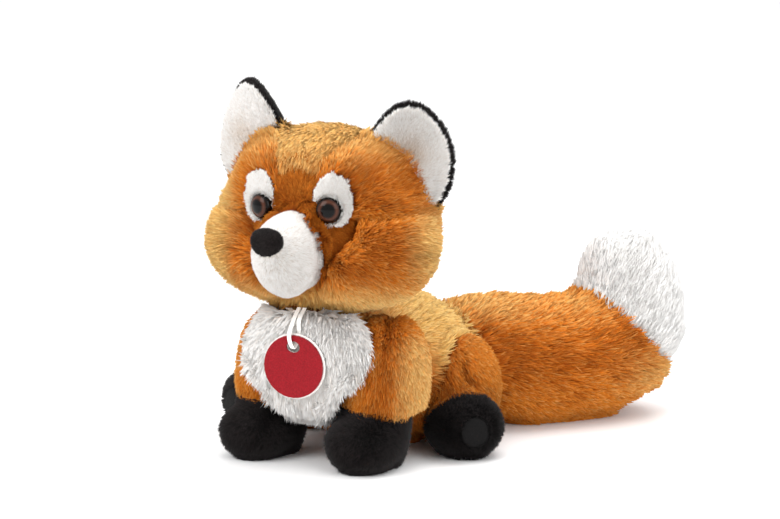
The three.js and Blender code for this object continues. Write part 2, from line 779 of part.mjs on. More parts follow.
// Hind legs: the haunch is round about the hip's own axis
const hipHeight = haunch.radius - floorPress;

function haunchSolid(grow = 0) {
  return solidOf(swollenBall({
    centre: new THREE.Vector3(),
    halfSizes: new THREE.Vector3(haunch.halfWidth, haunch.radius, haunch.radius),
    around: 18,
    rings: 12,
  }, grow));
}

const soleCorners = 8;
const haunchCutters = [];
for (const [sideName, side] of sides) {
  const turn = new THREE.Quaternion().setFromAxisAngle(axisZ, side * degrees(hindSpreadDegrees[sideName]));
  const hip = new THREE.Vector3(side * (body.halfWidth - haunch.insideFlank), haunch.backward, hipHeight);
  const group = jointGroup(fox, hip, turn);
  haunchCutters.push(haunchSolid(seamGap).transform(group.matrixWorld.elements));
  const footFrame = new THREE.Matrix4().makeRotationZ(degrees(foot.toeOutDegrees[sideName]));
  footFrame.setPosition(footOutward[sideName], -footForward[sideName], 0);
  const footMiddle = foot.halfHeight - foot.solePress - hipHeight;
  const footBall = (grow = 0) => solidOf(mirrored(filledForm({
    spine: footLineShares.map((share) => new THREE.Vector3(0, foot.reach * share, footMiddle)),
    halfWidths: footSizeShares.map((share) => foot.halfWidth * share),
    halfHeights: footSizeShares.map((share) => foot.halfHeight * share),
    up: axisZ,
    fullness: 0.5,
    around: 16,
    rings: 12,
  }, grow).applyMatrix4(footFrame), side));
  const soleOutline = new THREE.EllipseCurve(0, footMiddle, sole.halfWidth, sole.halfHeight);
  const solePad = solidOf(mirrored(sewnPad({
    outline: soleOutline.getPoints(soleCorners).slice(1).map((corner) => [corner.x, corner.y]),
    thickness: sole.thickness,
    around: 16,
    rings: 6,
  }).translate(0, -foot.reach, 0).applyMatrix4(footFrame), side));
  const swing = [bodyCutter, axisX, -haunch.forwardDegrees, haunch.backwardDegrees];
  const thigh = clearOf(pressed(haunchSolid(), group), group, ...swing);
  const paw = pressed(footBall().subtract(haunchSolid(seamGap)), group);
  addPiece(group, `thigh_${sideName}`, thigh, 'plushOrange');
  addPiece(group, `hind_paw_${sideName}`, clearOf(paw, group, ...swing), 'plushBlack');
  addPiece(group, `hind_sole_${sideName}`, largestPart(solePad.subtract(footBall(seamGap))), 'veloursBlack');
}

// Tail and its white tip: one filled form, split by the seam between them
const tailGroup = jointGroup(fox, new THREE.Vector3(tail.hingeLeft, tail.hingeBackward, tail.halfThickness));
const tailAhead = new THREE.Vector3(
  Math.sin(degrees(tail.towardLeftDegrees)),
  Math.cos(degrees(tail.towardLeftDegrees)),
  0,
);
const tailAside = new THREE.Vector3(-tailAhead.y, tailAhead.x, 0);

function onTail(share, heightShare) {
  const place = tailAside.clone().multiplyScalar(tail.lineOffset);
  place.addScaledVector(tailAhead, tail.rootReach + tail.length * share);
  place.z = tail.halfThickness * heightShare;
  return place.sub(tailGroup.position);
}

// The tail curls upward, so its rings are measured from its side: their width stands upright.
const wholeTail = solidOf(filledForm({
  spine: tailLineShares.map(([share, heightShare]) => onTail(share, heightShare)),
  halfWidths: tailHeightShares.map((share) => tail.halfThickness * share),
  halfHeights: tailWidthShares.map((share) => tail.halfThickness * share),
  up: tailAside,
  fullness: 0.55,
  around: 20,
  rings: 20,
}));
const seamPlace = onTail(tipSeamShare, tipSeamRiseShare);
const seamFrame = new THREE.Matrix4().makeBasis(
  tailAside,
  new THREE.Vector3().crossVectors(axisZ, tailAside),
  axisZ,
);
seamFrame.multiply(new THREE.Matrix4().makeRotationX(degrees(tipSeamDegrees)));
seamFrame.setPosition(seamPlace);
const seamBox = (direction) => solidOf(halfSpace(direction, seamGap / 2).applyMatrix4(seamFrame));
const tailPressed = pressed(wholeTail, tailGroup);
const tailSwing = [axisZ, -tail.fartherLeftDegrees, tail.towardRightDegrees];
let tailPiece = tailPressed.subtract(seamBox(1));
for (const neighbour of [bodyCutter, ...haunchCutters]) {
  tailPiece = clearOf(tailPiece, tailGroup, neighbour, ...tailSwing);
}
addPiece(tailGroup, 'tail', tailPiece, 'plushOrange');
addPiece(tailGroup, 'tail_tip', largestPart(tailPressed.subtract(seamBox(-1))), 'plushWhite');

// Hang tag: the loop's upper end is at the neck seam, and the discs hang on the bib
const tagTurn = new THREE.Quaternion().setFromAxisAngle(axisZ, degrees(tag.turnDegrees));
const tagGroup = jointGroup(fox, new THREE.Vector3(0, -loop.forward, loop.height), tagTurn);
const tagRadius = tag.diameter / 2;
const tagMiddle = -loop.drop - (tagRadius - tag.slotDrop);

function disc(radius, thickness, forward) {
  const outline = new THREE.Shape();
  outline.absarc(0, 0, radius, 0, 2 * Math.PI);
  const slot = new THREE.Path();
  slot.absellipse(0, tagRadius - tag.slotDrop, tag.slotWidth / 2, tag.slotHeight / 2, 0, 2 * Math.PI);
  outline.holes.push(slot);
  const settings = { depth: thickness, bevelEnabled: false, curveSegments: 18 };
  const geometry = new THREE.ExtrudeGeometry(outline, settings);
  return solidOf(geometry.rotateX(Math.PI / 2).translate(0, forward - loop.tagForward, tagMiddle));
}

addPiece(tagGroup, 'tag_front', disc(tagRadius, tag.feltThickness, 0), 'feltRed');
addPiece(tagGroup, 'tag_back', disc(
  tagRadius + tag.rimWidth, tag.backThickness, tag.backThickness + tag.rimGap,
), 'cardWhite');

const ribbonLine = new THREE.CatmullRomCurve3(ribbonShares.map(([across, ahead, past, down]) => {
  const forward = loop.tagForward * ahead + loop.reach * past;
  return new THREE.Vector3((loop.spread / 2) * across, -forward, -loop.drop * down);
}));
const ribbonSection = new THREE.Shape();
ribbonSection.absarc(0, 0, loop.diameter / 2, 0, 2 * Math.PI);
addPiece(tagGroup, 'tag_loop', solidOf(new THREE.ExtrudeGeometry(ribbonSection, {
  steps: 24,
  curveSegments: 4,
  extrudePath: ribbonLine,
})), 'ribbonWhite');

export default fox;
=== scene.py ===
import itertools
import json
import math

import bmesh
import bpy
import numpy as np
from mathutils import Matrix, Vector
from mathutils.bvhtree import BVHTree

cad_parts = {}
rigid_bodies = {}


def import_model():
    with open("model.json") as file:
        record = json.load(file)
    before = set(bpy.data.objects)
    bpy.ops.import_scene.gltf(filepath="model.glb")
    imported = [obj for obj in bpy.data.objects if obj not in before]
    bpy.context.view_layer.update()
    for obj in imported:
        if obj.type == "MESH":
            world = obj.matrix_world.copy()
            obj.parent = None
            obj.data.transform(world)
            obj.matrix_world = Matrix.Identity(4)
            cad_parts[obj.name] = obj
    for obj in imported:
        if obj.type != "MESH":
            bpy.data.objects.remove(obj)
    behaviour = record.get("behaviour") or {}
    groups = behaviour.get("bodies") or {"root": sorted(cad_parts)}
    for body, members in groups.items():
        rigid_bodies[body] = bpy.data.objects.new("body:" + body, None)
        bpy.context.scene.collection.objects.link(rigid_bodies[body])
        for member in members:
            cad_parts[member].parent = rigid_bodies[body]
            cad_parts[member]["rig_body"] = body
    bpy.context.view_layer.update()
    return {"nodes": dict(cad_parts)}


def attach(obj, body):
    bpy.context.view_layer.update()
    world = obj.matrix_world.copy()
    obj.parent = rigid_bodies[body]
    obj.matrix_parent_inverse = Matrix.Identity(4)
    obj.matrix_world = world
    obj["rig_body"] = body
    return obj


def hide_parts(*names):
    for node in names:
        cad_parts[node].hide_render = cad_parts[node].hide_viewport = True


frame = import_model()
nodes = frame["nodes"]

MM = 0.001
SIDES = (("left", 1), ("right", -1))
# The eyes' radius, in millimetres.
EYE_RADIUS = 6


def placed(obj):
    bpy.context.scene.collection.objects.link(obj)
    return obj


def meshed(name, bm):
    """An object made of a finished mesh."""
    mesh = bpy.data.meshes.new(name)
    bm.to_mesh(mesh)
    bm.free()
    return placed(bpy.data.objects.new(name, mesh))


# Camera: the photograph's own, 1.2 m away with a long lens, a little above the fox.
CAMERA_PLACE = (0.5942, -1.0232, 0.2769)
CAMERA_AHEAD = (-0.4938, 0.8554, -0.1564)
SENSOR_WIDTH, LENS, NEAREST_SEEN = 36, 110.77, 0.05
camera = placed(bpy.data.objects.new("camera", bpy.data.cameras.new("camera")))
bpy.context.scene.camera = camera
camera.location = CAMERA_PLACE
camera.rotation_mode = "QUATERNION"
camera.rotation_quaternion = Vector(CAMERA_AHEAD).to_track_quat("-Z", "Y")
camera.data.sensor_width = SENSOR_WIDTH
camera.data.lens = LENS
camera.data.clip_start = NEAREST_SEEN
bpy.context.scene.view_settings.view_transform = "Standard"


# Materials

# A colour mix node's sockets, by number: the second's share, both colours and the result.
MIX_SHARE, MIX_FIRST, MIX_SECOND, MIXED = 0, 6, 7, 2
# The size and depth of a stitch of the backing, in metres.
STITCH, STITCH_DEPTH = 0.0011, 0.0004
# The eye's print from middle to rim, and its rays' size in metres and strength.
IRIS_RINGS = [
    (0.0, "#030202"), (0.47, "#040303"), (0.53, "#20110c"), (0.68, "#4c2b1e"), (0.8, "#3a2016"),
    (0.87, "#100805"), (1.0, "#050303"),
]
RAY_SIZE, RAY_DARKEST, RAY_BRIGHTEST = 0.0007, 0.75, 1.25


def linear(code):
    """An sRGB hex colour as linear red, green, blue and alpha."""
    values = [int(code[i : i + 2], 16) / 255 for i in (1, 3, 5)]
    return [v / 12.92 if v <= 0.04045 else ((v + 0.055) / 1.055) ** 2.4 for v in values] + [1.0]


def add(tree, kind, inputs=None, **settings):
    """A node of one kind, with its settings; each input is a value or another node's output."""
    made = tree.nodes.new(kind)
    for key, value in settings.items():
        setattr(made, key, value)
    for key, value in (inputs or {}).items():
        if isinstance(value, bpy.types.NodeSocket):
            tree.links.new(value, made.inputs[key])
        else:
            made.inputs[key].default_value = value
    return made


def ramp(tree, factor, stops):
    """A colour ramp through (place, hex colour) stops."""
    made = add(tree, "ShaderNodeValToRGB", {"Fac": factor})
    elements = made.color_ramp.elements
    while len(elements) < len(stops):
        elements.new(0.5)
    for element, (place, code) in zip(elements, stops):
        element.position = place
        element.color = linear(code)
    return made.outputs["Color"]


def surface(name, colour_of, **shader):
    """A material: its colour (and bump, if any) comes from colour_of(tree), the rest is set on the shader."""
    material = bpy.data.materials.new(name)
    material.use_nodes = True
    tree = material.node_tree
    tree.nodes.clear()
    colour, normal = colour_of(tree)
    inputs = {key.replace("_", " "): value for key, value in shader.items()}
    inputs["Base Color"] = colour
    if normal is not None:
        inputs["Normal"] = normal
    made = add(tree, "ShaderNodeBsdfPrincipled", inputs)
    add(tree, "ShaderNodeOutputMaterial", {"Surface": made.outputs["BSDF"]})
    return material


def grain(tree, size, detail=2.0, roughness=0.5, distortion=0.0):
    """Noise in the piece's own space, its grain of a size in metres."""
    place = add(tree, "ShaderNodeTexCoord").outputs["Object"]
    return add(tree, "ShaderNodeTexNoise", {
        "Vector": place, "Scale": 1 / size, "Detail": detail, "Roughness": roughness,
        "Distortion": distortion,
    }).outputs["Fac"]


def bumped(tree, height, distance, strength=0.5):
    return add(tree, "ShaderNodeBump", {
        "Height": height, "Distance": distance, "Strength": strength,
    }).outputs["Normal"]


def toned(tree, colour, level):
    """A colour made darker or lighter by a level."""
    made = add(tree, "ShaderNodeVectorMath", {"Vector": colour, "Scale": level}, operation="SCALE")
    return made.outputs["Vector"]


def dyed_pile(core, tint_and_painted_light, spread):
    """Colours of pile from root to tip, darker toward the root as painted shade deep in the pile: its core
    dye, and a second ramp of painted light and shade with a tint.

    The fibres' own "coat" says how far along a place is, its tone, and its share of the second ramp.
    """

    def colour_of(tree):
        coat = add(tree, "ShaderNodeAttribute", attribute_name="coat").outputs["Vector"]
        reach, tone, share = add(tree, "ShaderNodeSeparateXYZ", {"Vector": coat}).outputs
        mixed = add(tree, "ShaderNodeMix", {
            MIX_SHARE: share, MIX_FIRST: ramp(tree, reach, core), MIX_SECOND: ramp(tree, reach, tint_and_painted_light),
        }, data_type="RGBA").outputs[MIXED]
        level = add(tree, "ShaderNodeMath", {0: tone, 1: spread, 2: 1.0}, operation="MULTIPLY_ADD")
        return toned(tree, mixed, level.outputs[0]), None

    return colour_of


def knitted(code, dark):
    """A knitted backing under the pile: stitches of about 1 mm."""

    def colour_of(tree):
        stitches = grain(tree, STITCH, detail=3.0, roughness=0.6)
        return ramp(tree, stitches, [(0.3, dark), (0.7, code)]), bumped(tree, stitches, STITCH_DEPTH)

    return colour_of


# Brushed acrylic plush, dyed orange: darker at the root as painted shade deep in the pile, and golden as a
# painted glow where light shines through the pile at its edges and tops.
PLUSH_ORANGE = surface(
    "brushed_acrylic_plush_orange",
    dyed_pile(
        [(0.0, "#85380b"), (0.45, "#b25710"), (0.8, "#cd6e1b"), (1.0, "#df8a30")],
        [(0.0, "#c8903f"), (0.45, "#dea856"), (0.8, "#ebbe70"), (1.0, "#f6d28c")],
        0.15,
    ),
    Roughness=0.75, Specular_IOR_Level=0.1, Sheen_Weight=0.07, Sheen_Roughness=0.45,
    Sheen_Tint=linear("#ffc880"),
)
# Brushed acrylic plush, undyed: warm grey toward the root as painted shade deep in the pile; its beige ramp
# gives a warm tint, and painted shade in folds and under the chin.
PLUSH_WHITE = surface(
    "brushed_acrylic_plush_white",
    dyed_pile(
        [(0.0, "#ece7e0"), (0.4, "#f5f2ee"), (1.0, "#fdfcfa")],
        [(0.0, "#8f745c"), (0.4, "#b99f88"), (1.0, "#d8c6b4")],
        0.035,
    ),
    Roughness=0.8, Specular_IOR_Level=0.2, Sheen_Weight=0.2, Sheen_Roughness=0.5,
)
# Sheared acrylic plush, dyed black: short fibres that swallow most light; its paler ramp is a painted
# highlight where the pile faces up.
PLUSH_BLACK = surface(
    "sheared_acrylic_plush_black",
    dyed_pile(
        [(0.0, "#060404"), (0.6, "#130f0f"), (1.0, "#241e1e")],
        [(0.0, "#0a0808"), (0.6, "#1f1b1b"), (1.0, "#383232")],
        0.2,
    ),
    Roughness=0.75, Specular_IOR_Level=0.15, Sheen_Weight=0.06, Sheen_Roughness=0.5,
)
# Knitted polyester backings, dyed with their pile.
BACKING_ORANGE = surface("knitted_backing_orange", knitted("#a1581e", "#743a12"), Roughness=0.95)
BACKING_WHITE = surface("knitted_backing_white", knitted("#e4dfd8", "#cbc3b8"), Roughness=0.95)
BACKING_BLACK = surface("knitted_backing_black", knitted("#0f0d0d", "#060505"), Roughness=0.95)
# Pressed felt, dyed black: matted short fibres.
FELT_BLACK = surface(
    "pressed_felt_black",
    lambda tree: (
        ramp(tree, grain(tree, 0.0007, detail=4.0, roughness=0.7), [(0.35, "#110d0c"), (0.75, "#2f2827")]),
        bumped(tree, grain(tree, 0.0006, detail=4.0, roughness=0.7), 0.0006, strength=0.8),
    ),
    Roughness=0.92, Sheen_Weight=0.06, Sheen_Roughness=0.5, Specular_IOR_Level=0.15,
)
# Pressed felt, dyed red: matted fibres, slightly uneven dye.
FELT_RED = surface(
    "pressed_felt_red",
    lambda tree: (
        ramp(tree, grain(tree, 0.0008, detail=5.0, roughness=0.7), [(0.3, "#770a14"), (0.7, "#98131f")]),
        bumped(tree, grain(tree, 0.0005, detail=5.0, roughness=0.7), 0.0005, strength=0.8),
    ),
    Roughness=0.92, Sheen_Weight=0.08, Sheen_Roughness=0.5, Specular_IOR_Level=0.2,
)
# Stiff white card backing: matt, with a faint fibre.
CARD_WHITE = surface(
    "pressed_card_white",
    lambda tree: (ramp(tree, grain(tree, 0.0009, detail=3.0), [(0.3, "#efece7"), (0.7, "#fbfaf7")]), None),
    Roughness=0.7,
)
# Sheared velour, dyed black: a satin grey sheen on a smooth nap.
VELOUR_BLACK = surface(
    "sheared_velour_black",
    lambda tree: (
        ramp(tree, grain(tree, 0.0012, detail=3.0), [(0.3, "#040303"), (0.7, "#0a0808")]),
        bumped(tree, grain(tree, 0.0007), 0.0003),
    ),
    Roughness=0.6, Specular_IOR_Level=0.12, Sheen_Weight=0.02, Sheen_Roughness=0.35,
)
# Woven satin ribbon: a soft gloss, with fine threads across it.
RIBBON = surface(
    "woven_satin_ribbon_white",
    lambda tree: (
        ramp(tree, grain(tree, 0.0006), [(0.2, "#e9e6e0"), (0.8, "#fbfaf7")]),
        bumped(tree, grain(tree, 0.0005, detail=1.0), 0.0002),
    ),
    Roughness=0.42, Specular_IOR_Level=0.5, Sheen_Weight=0.3, Sheen_Roughness=0.3,
)
# Injection-moulded plastic: glossy, with faint flow marks.
PLASTIC_BLACK = surface(
    "moulded_plastic_black",
    lambda tree: (ramp(tree, grain(tree, 0.003), [(0.3, "#0d0c0d"), (0.7, "#191718")]), None),
    Roughness=0.25, IOR=1.5,
)
PLASTIC_WHITE = surface(
    "moulded_plastic_white",
    lambda tree: (ramp(tree, grain(tree, 0.003), [(0.3, "#dedcd6"), (0.7, "#ebe9e4")]), None),
    Roughness=0.4, IOR=1.5,
)
# Painted studio sweep: matt, hardly uneven.
SWEEP_WHITE = surface(
    "painted_sweep_white",
    lambda tree: (ramp(tree, grain(tree, 0.3), [(0.3, "#f8f8f8"), (0.7, "#fbfbfb")]), None),
    Roughness=0.6,
)


def iris_print(middle, facing):
    """Printed rings round the eye's axis: black pupil, brown iris with fine rays, dark rim."""

    def colour_of(tree):
        place = add(tree, "ShaderNodeTexCoord").outputs["Object"]
        offset = add(tree, "ShaderNodeVectorMath", {0: place, 1: middle}, operation="SUBTRACT")
        aside = add(tree, "ShaderNodeVectorMath", {
            0: offset.outputs["Vector"], 1: facing,
        }, operation="CROSS_PRODUCT")
        radius = add(tree, "ShaderNodeVectorMath", {0: aside.outputs["Vector"]}, operation="LENGTH")
        share = add(tree, "ShaderNodeMath", {
            0: radius.outputs["Value"], 1: 1 / (EYE_RADIUS * MM),
        }, operation="MULTIPLY")
        rays = add(tree, "ShaderNodeMapRange", {
            "Value": grain(tree, RAY_SIZE, distortion=1.5), "To Min": RAY_DARKEST, "To Max": RAY_BRIGHTEST,
        })
        return toned(tree, ramp(tree, share.outputs[0], IRIS_RINGS), rays.outputs["Result"]), None

    return colour_of


# Fields over the skins: repeatable noise, tufts and distances

# Nothing is divided by less than this.
TINY = 1e-9
# Large odd numbers that mix a cell, a seed and a layer into one number.
CELL_MIX = (73856093, 19349663, 83492791)
SEED_MIX, LAYER_MIX, LAST_MIX = 2654435761, 97531, 1274126177
LOW_31_BITS, LOW_24_BITS = 0x7FFFFFFF, 0xFFFFFF


def unit(vectors):
    return vectors / np.maximum(np.linalg.norm(vectors, axis=-1, keepdims=True), TINY)


def smooth_step(value, low, high):
    share = np.clip((value - low) / (high - low), 0, 1)
    return share * share * (3 - 2 * share)


def fade(value, low, high, most):
    """A smooth rise from 0 where the value is low to the most where it is high."""
    return most * smooth_step(value, low, high)


def bell(distance, width, power=2):
    """A smooth fall from 1 at no distance to nearly 0 at twice the width."""
    return np.exp(-(distance / width) ** power)


def scatter(cells, seed, layer):
    """A repeatable value from 0 to 1 for each whole-numbered cell."""
    x, y, z = (cells[..., i] * CELL_MIX[i] for i in range(3))
    mixed = (x ^ y ^ z ^ (seed * SEED_MIX + layer * LAYER_MIX)) & LOW_31_BITS
    mixed = ((mixed >> 13) ^ mixed) * LAST_MIX & LOW_31_BITS
    return (((mixed >> 11) ^ mixed) & LOW_24_BITS) / LOW_24_BITS


def drift(places, size, seed):
    """Smooth noise from -1 to 1, its waves about a size long."""
    scaled = places / size
    low = np.floor(scaled).astype(np.int64)
    share = smooth_step(scaled - low, 0, 1)
    total = np.zeros(len(places))
    for corner in itertools.product((0, 1), repeat=3):
        weight = np.prod(np.where(corner, share, 1 - share), axis=1)
        total += weight * scatter(low + corner, seed, 0)
    return total * 2 - 1


def tufts(places, size, seed):
    """The tuft that each place belongs to, as a number: jittered cells, so no rows show."""
    low = np.floor(places / size).astype(np.int64)
    nearest = np.full(len(places), np.inf)
    owner = np.zeros((len(places), 3), np.int64)
    for step in itertools.product((-1, 0, 1), repeat=3):
        cell = low + step
        middle = cell + np.stack([scatter(cell, seed, layer) for layer in (1, 2, 3)], axis=1)
        distance = ((places / size - middle) ** 2).sum(1)
        closer = distance < nearest
        nearest[closer] = distance[closer]
        owner[closer] = cell[closer]
    return np.unique(owner, axis=0, return_inverse=True)[1].reshape(-1)


def from_line(places, line):
    """How far each place is from a line of straight runs."""
    line = np.array(line, float)
    nearest = np.full(len(places), np.inf)
    for start, end in zip(line, line[1:]):
        run = end - start
        share = np.clip((places - start) @ run / (run @ run), 0, 1)
        nearest = np.minimum(nearest, np.linalg.norm(places - start - share[:, None] * run, axis=1))
    return nearest


def from_place(places, place):
    return np.linalg.norm(places - np.array(place, float), axis=1)


# Skins: each filled piece's cloth, from its CAD solid, drawn in to leave room for its pile


def points_of(mesh):
    """The places of a mesh's corners and their normals."""
    found = []
    for kind in ("co", "normal"):
        values = np.empty(len(mesh.vertices) * 3, np.float32)
        mesh.vertices.foreach_get(kind, values)
        found.append(values.reshape(-1, 3).astype(float))
    return found


def triangles_of(mesh):
    """The three corners of each triangle of a mesh."""
    mesh.calc_loop_triangles()
    corners = np.empty(len(mesh.loop_triangles) * 3, np.int32)
    mesh.loop_triangles.foreach_get("vertices", corners)
    return corners.reshape(-1, 3)


def applied(obj):
    """The piece's modifiers made part of its mesh."""
    depsgraph = bpy.context.evaluated_depsgraph_get()
    mesh = bpy.data.meshes.new_from_object(obj.evaluated_get(depsgraph))
    obj.modifiers.clear()
    obj.data = mesh
    return obj


# Pieces that no pile grows against: they hang free, or are hard and sit in the cloth.
HARD_OR_FREE = ("tag_", "eye_lens", "eye_iris", "eye_stem", "eye_washer")
# Corners of the CAD solid this near each other are one, in millimetres.
MERGED = 0.01
# A seam holds the cloth within its reach, and ever less up to its fade.
SEAM_REACH, SEAM_FADE = 1.0, 2.0
# Cloth below this height rests on the floor and isn't lifted.
RESTING = 2.5
SETTLING_STEPS = 2


def neighbours_of(node, but=()):
    """The CAD surfaces of every other sewn piece, but those named."""
    verts, faces, count = [], [], 0
    for other, obj in nodes.items():
        if other == node or other.startswith((*HARD_OR_FREE, *but)):
            continue
        co = points_of(obj.data)[0]
        verts.append(co)
        faces.append(triangles_of(obj.data) + count)
        count += len(co)
    return BVHTree.FromPolygons(np.concatenate(verts).tolist(), np.concatenate(faces).tolist())


def remeshed(node, voxel, smoothing):
    """A piece's CAD solid as an even, smoothed mesh."""
    bm = bmesh.new()
    bm.from_mesh(nodes[node].data)
    bmesh.ops.remove_doubles(bm, verts=bm.verts, dist=MERGED * MM)
    obj = meshed(f"{node}_skin", bm)
    even = obj.modifiers.new("even", "REMESH")
    even.mode = "VOXEL"
    even.voxel_size = voxel * MM
    soft = obj.modifiers.new("soft", "SMOOTH")
    soft.iterations = smoothing
    return applied(obj)


def skin(node, voxel, draw_in, smoothing=6, form=None, over=()):
    """The closed skin of a filled piece, its sizes in millimetres.

    It is drawn in, but for where a neighbour is sewn on and doesn't lie over it, and then formed by
    form(places).
    """
    obj = remeshed(node, voxel, smoothing)
    co, normals = points_of(obj.data)
    around = neighbours_of(node, over)
    found = [around.find_nearest(Vector(place)) for place in co]
    gap = np.array([hit[3] for hit in found])
    nearest = unit(np.array([hit[0] for hit in found]) - co)
    move = -normals * draw_in * MM
    held = 1 - smooth_step(gap, SEAM_REACH * MM, (draw_in + SEAM_FADE) * MM)
    move -= nearest * (np.minimum((move * nearest).sum(1), 0) * held)[:, None]
    move[:, 2] = np.where(co[:, 2] < RESTING * MM, np.minimum(move[:, 2], 0), move[:, 2])
    if form is not None:
        move += normals * form(co / MM)[:, None] * MM * (1 - held)[:, None]
    obj.data.vertices.foreach_set("co", (co + move).astype(np.float32).ravel())
    obj.data.update()
    settle = obj.modifiers.new("settle", "SMOOTH")
    settle.iterations = SETTLING_STEPS
    applied(obj)
    obj.data.polygons.foreach_set("use_smooth", np.ones(len(obj.data.polygons), bool))
    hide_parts(node)
    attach(obj, nodes[node]["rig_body"])
    return obj


# Pile: fibres that grow on the skins

# Pile near the floor is thin: below this height, in millimetres, it grows to this share.
THIN_BELOW, THIN_SHARE = 1.5, 0.1
# The comb's direction sways in long waves and lesser short ones, in millimetres.
LONG_WAVE, SHORT_WAVE, SHORT_SHARE = 9, 3.5, 0.5
# How much a fibre strays from it, in radians.
STRAY = 0.16
# A fibre's length: the shortest and the spread, and patches (millimetres) that differ a little.
SHORTEST, LENGTH_SPREAD = 0.76, 0.36
LENGTH_PATCH, LENGTH_CHANGE = 6, 0.1
# How much the lower and the upper half of a fibre stray, as shares of their length.
LOWER_STRAY, UPPER_STRAY = 0.08, 0.1
# A fibre starts this far under its backing and stays this far above the floor, in millimetres.
ROOT_DEPTH, FLOOR_GAP = 0.4, 0.25
# A fibre's width: the narrowest and the spread at its root, and how much is left at its bend.
NARROWEST, WIDTH_SPREAD, BEND_WIDTH = 0.8, 0.4, 0.7
# How much a fibre's shading follows the skin under it at its bend and its tip.
BEND_SHADING, TIP_SHADING = 0.85, 0.75
# How the tone differs by tuft, by fibre and by patch (millimetres), and the most that it can.
TUFT_TONE, FIBRE_TONE, PATCH_TONE, TONE_PATCH, MOST_TONE = 0.3, 0.45, 0.35, 14, 2
PALE_SPREAD = 0.15
# Enough that a fibre seen end on still has a side to be wide to.
LEAST_ASIDE = 1e-4
# How far along a fibre its corners are: two at the root, the bend and the tip.
REACHES = [0.0, 0.0, 0.55, 1.0]


def roots_of(base, node, count, clear, where, random):
    """Places and normals of a count of fibres on a skin, but where a neighbour lies within clear over it."""
    co, normals = points_of(base.data)
    corners = triangles_of(base.data)
    a, b, c = (co[corners[:, i]] for i in range(3))
    crossed = np.cross(b - a, c - a)
    outward = unit(crossed)
    middle = (a + b + c) / 3
    around = neighbours_of(node)
    covered = np.array([
        around.ray_cast(Vector(place), Vector(normal), clear * MM)[0] is not None
        for place, normal in zip(middle, outward)
    ])
    weight = np.linalg.norm(crossed, axis=1) * ~covered
    weight *= np.where(middle[:, 2] < THIN_BELOW * MM, THIN_SHARE, 1.0)
    if where is not None:
        weight *= where(middle / MM, outward)
    steps = np.cumsum(weight)
    pick = np.minimum(np.searchsorted(steps, random.random(count) * steps[-1]), len(corners) - 1)
    u, v = random.random(count), random.random(count)
    folded = u + v > 1
    u[folded], v[folded] = 1 - u[folded], 1 - v[folded]
    shares = np.stack([1 - u - v, u, v], axis=1)[..., None]
    return (co[corners[pick]] * shares).sum(1), unit((normals[corners[pick]] * shares).sum(1))


def combed(flow, root, normal, wave, seed, random):
    """The comb's direction laid along the skin, swaying in waves."""
    flow = unit(flow - normal * (flow * normal).sum(1, keepdims=True))
    aside = np.cross(normal, flow)
    waves = drift(root, LONG_WAVE * MM, seed + 5) + SHORT_SHARE * drift(root, SHORT_WAVE * MM, seed + 6)
    sway = (wave * waves + random.normal(0, STRAY, len(root)))[:, None]
    return unit(flow * np.cos(sway) + aside * np.sin(sway))


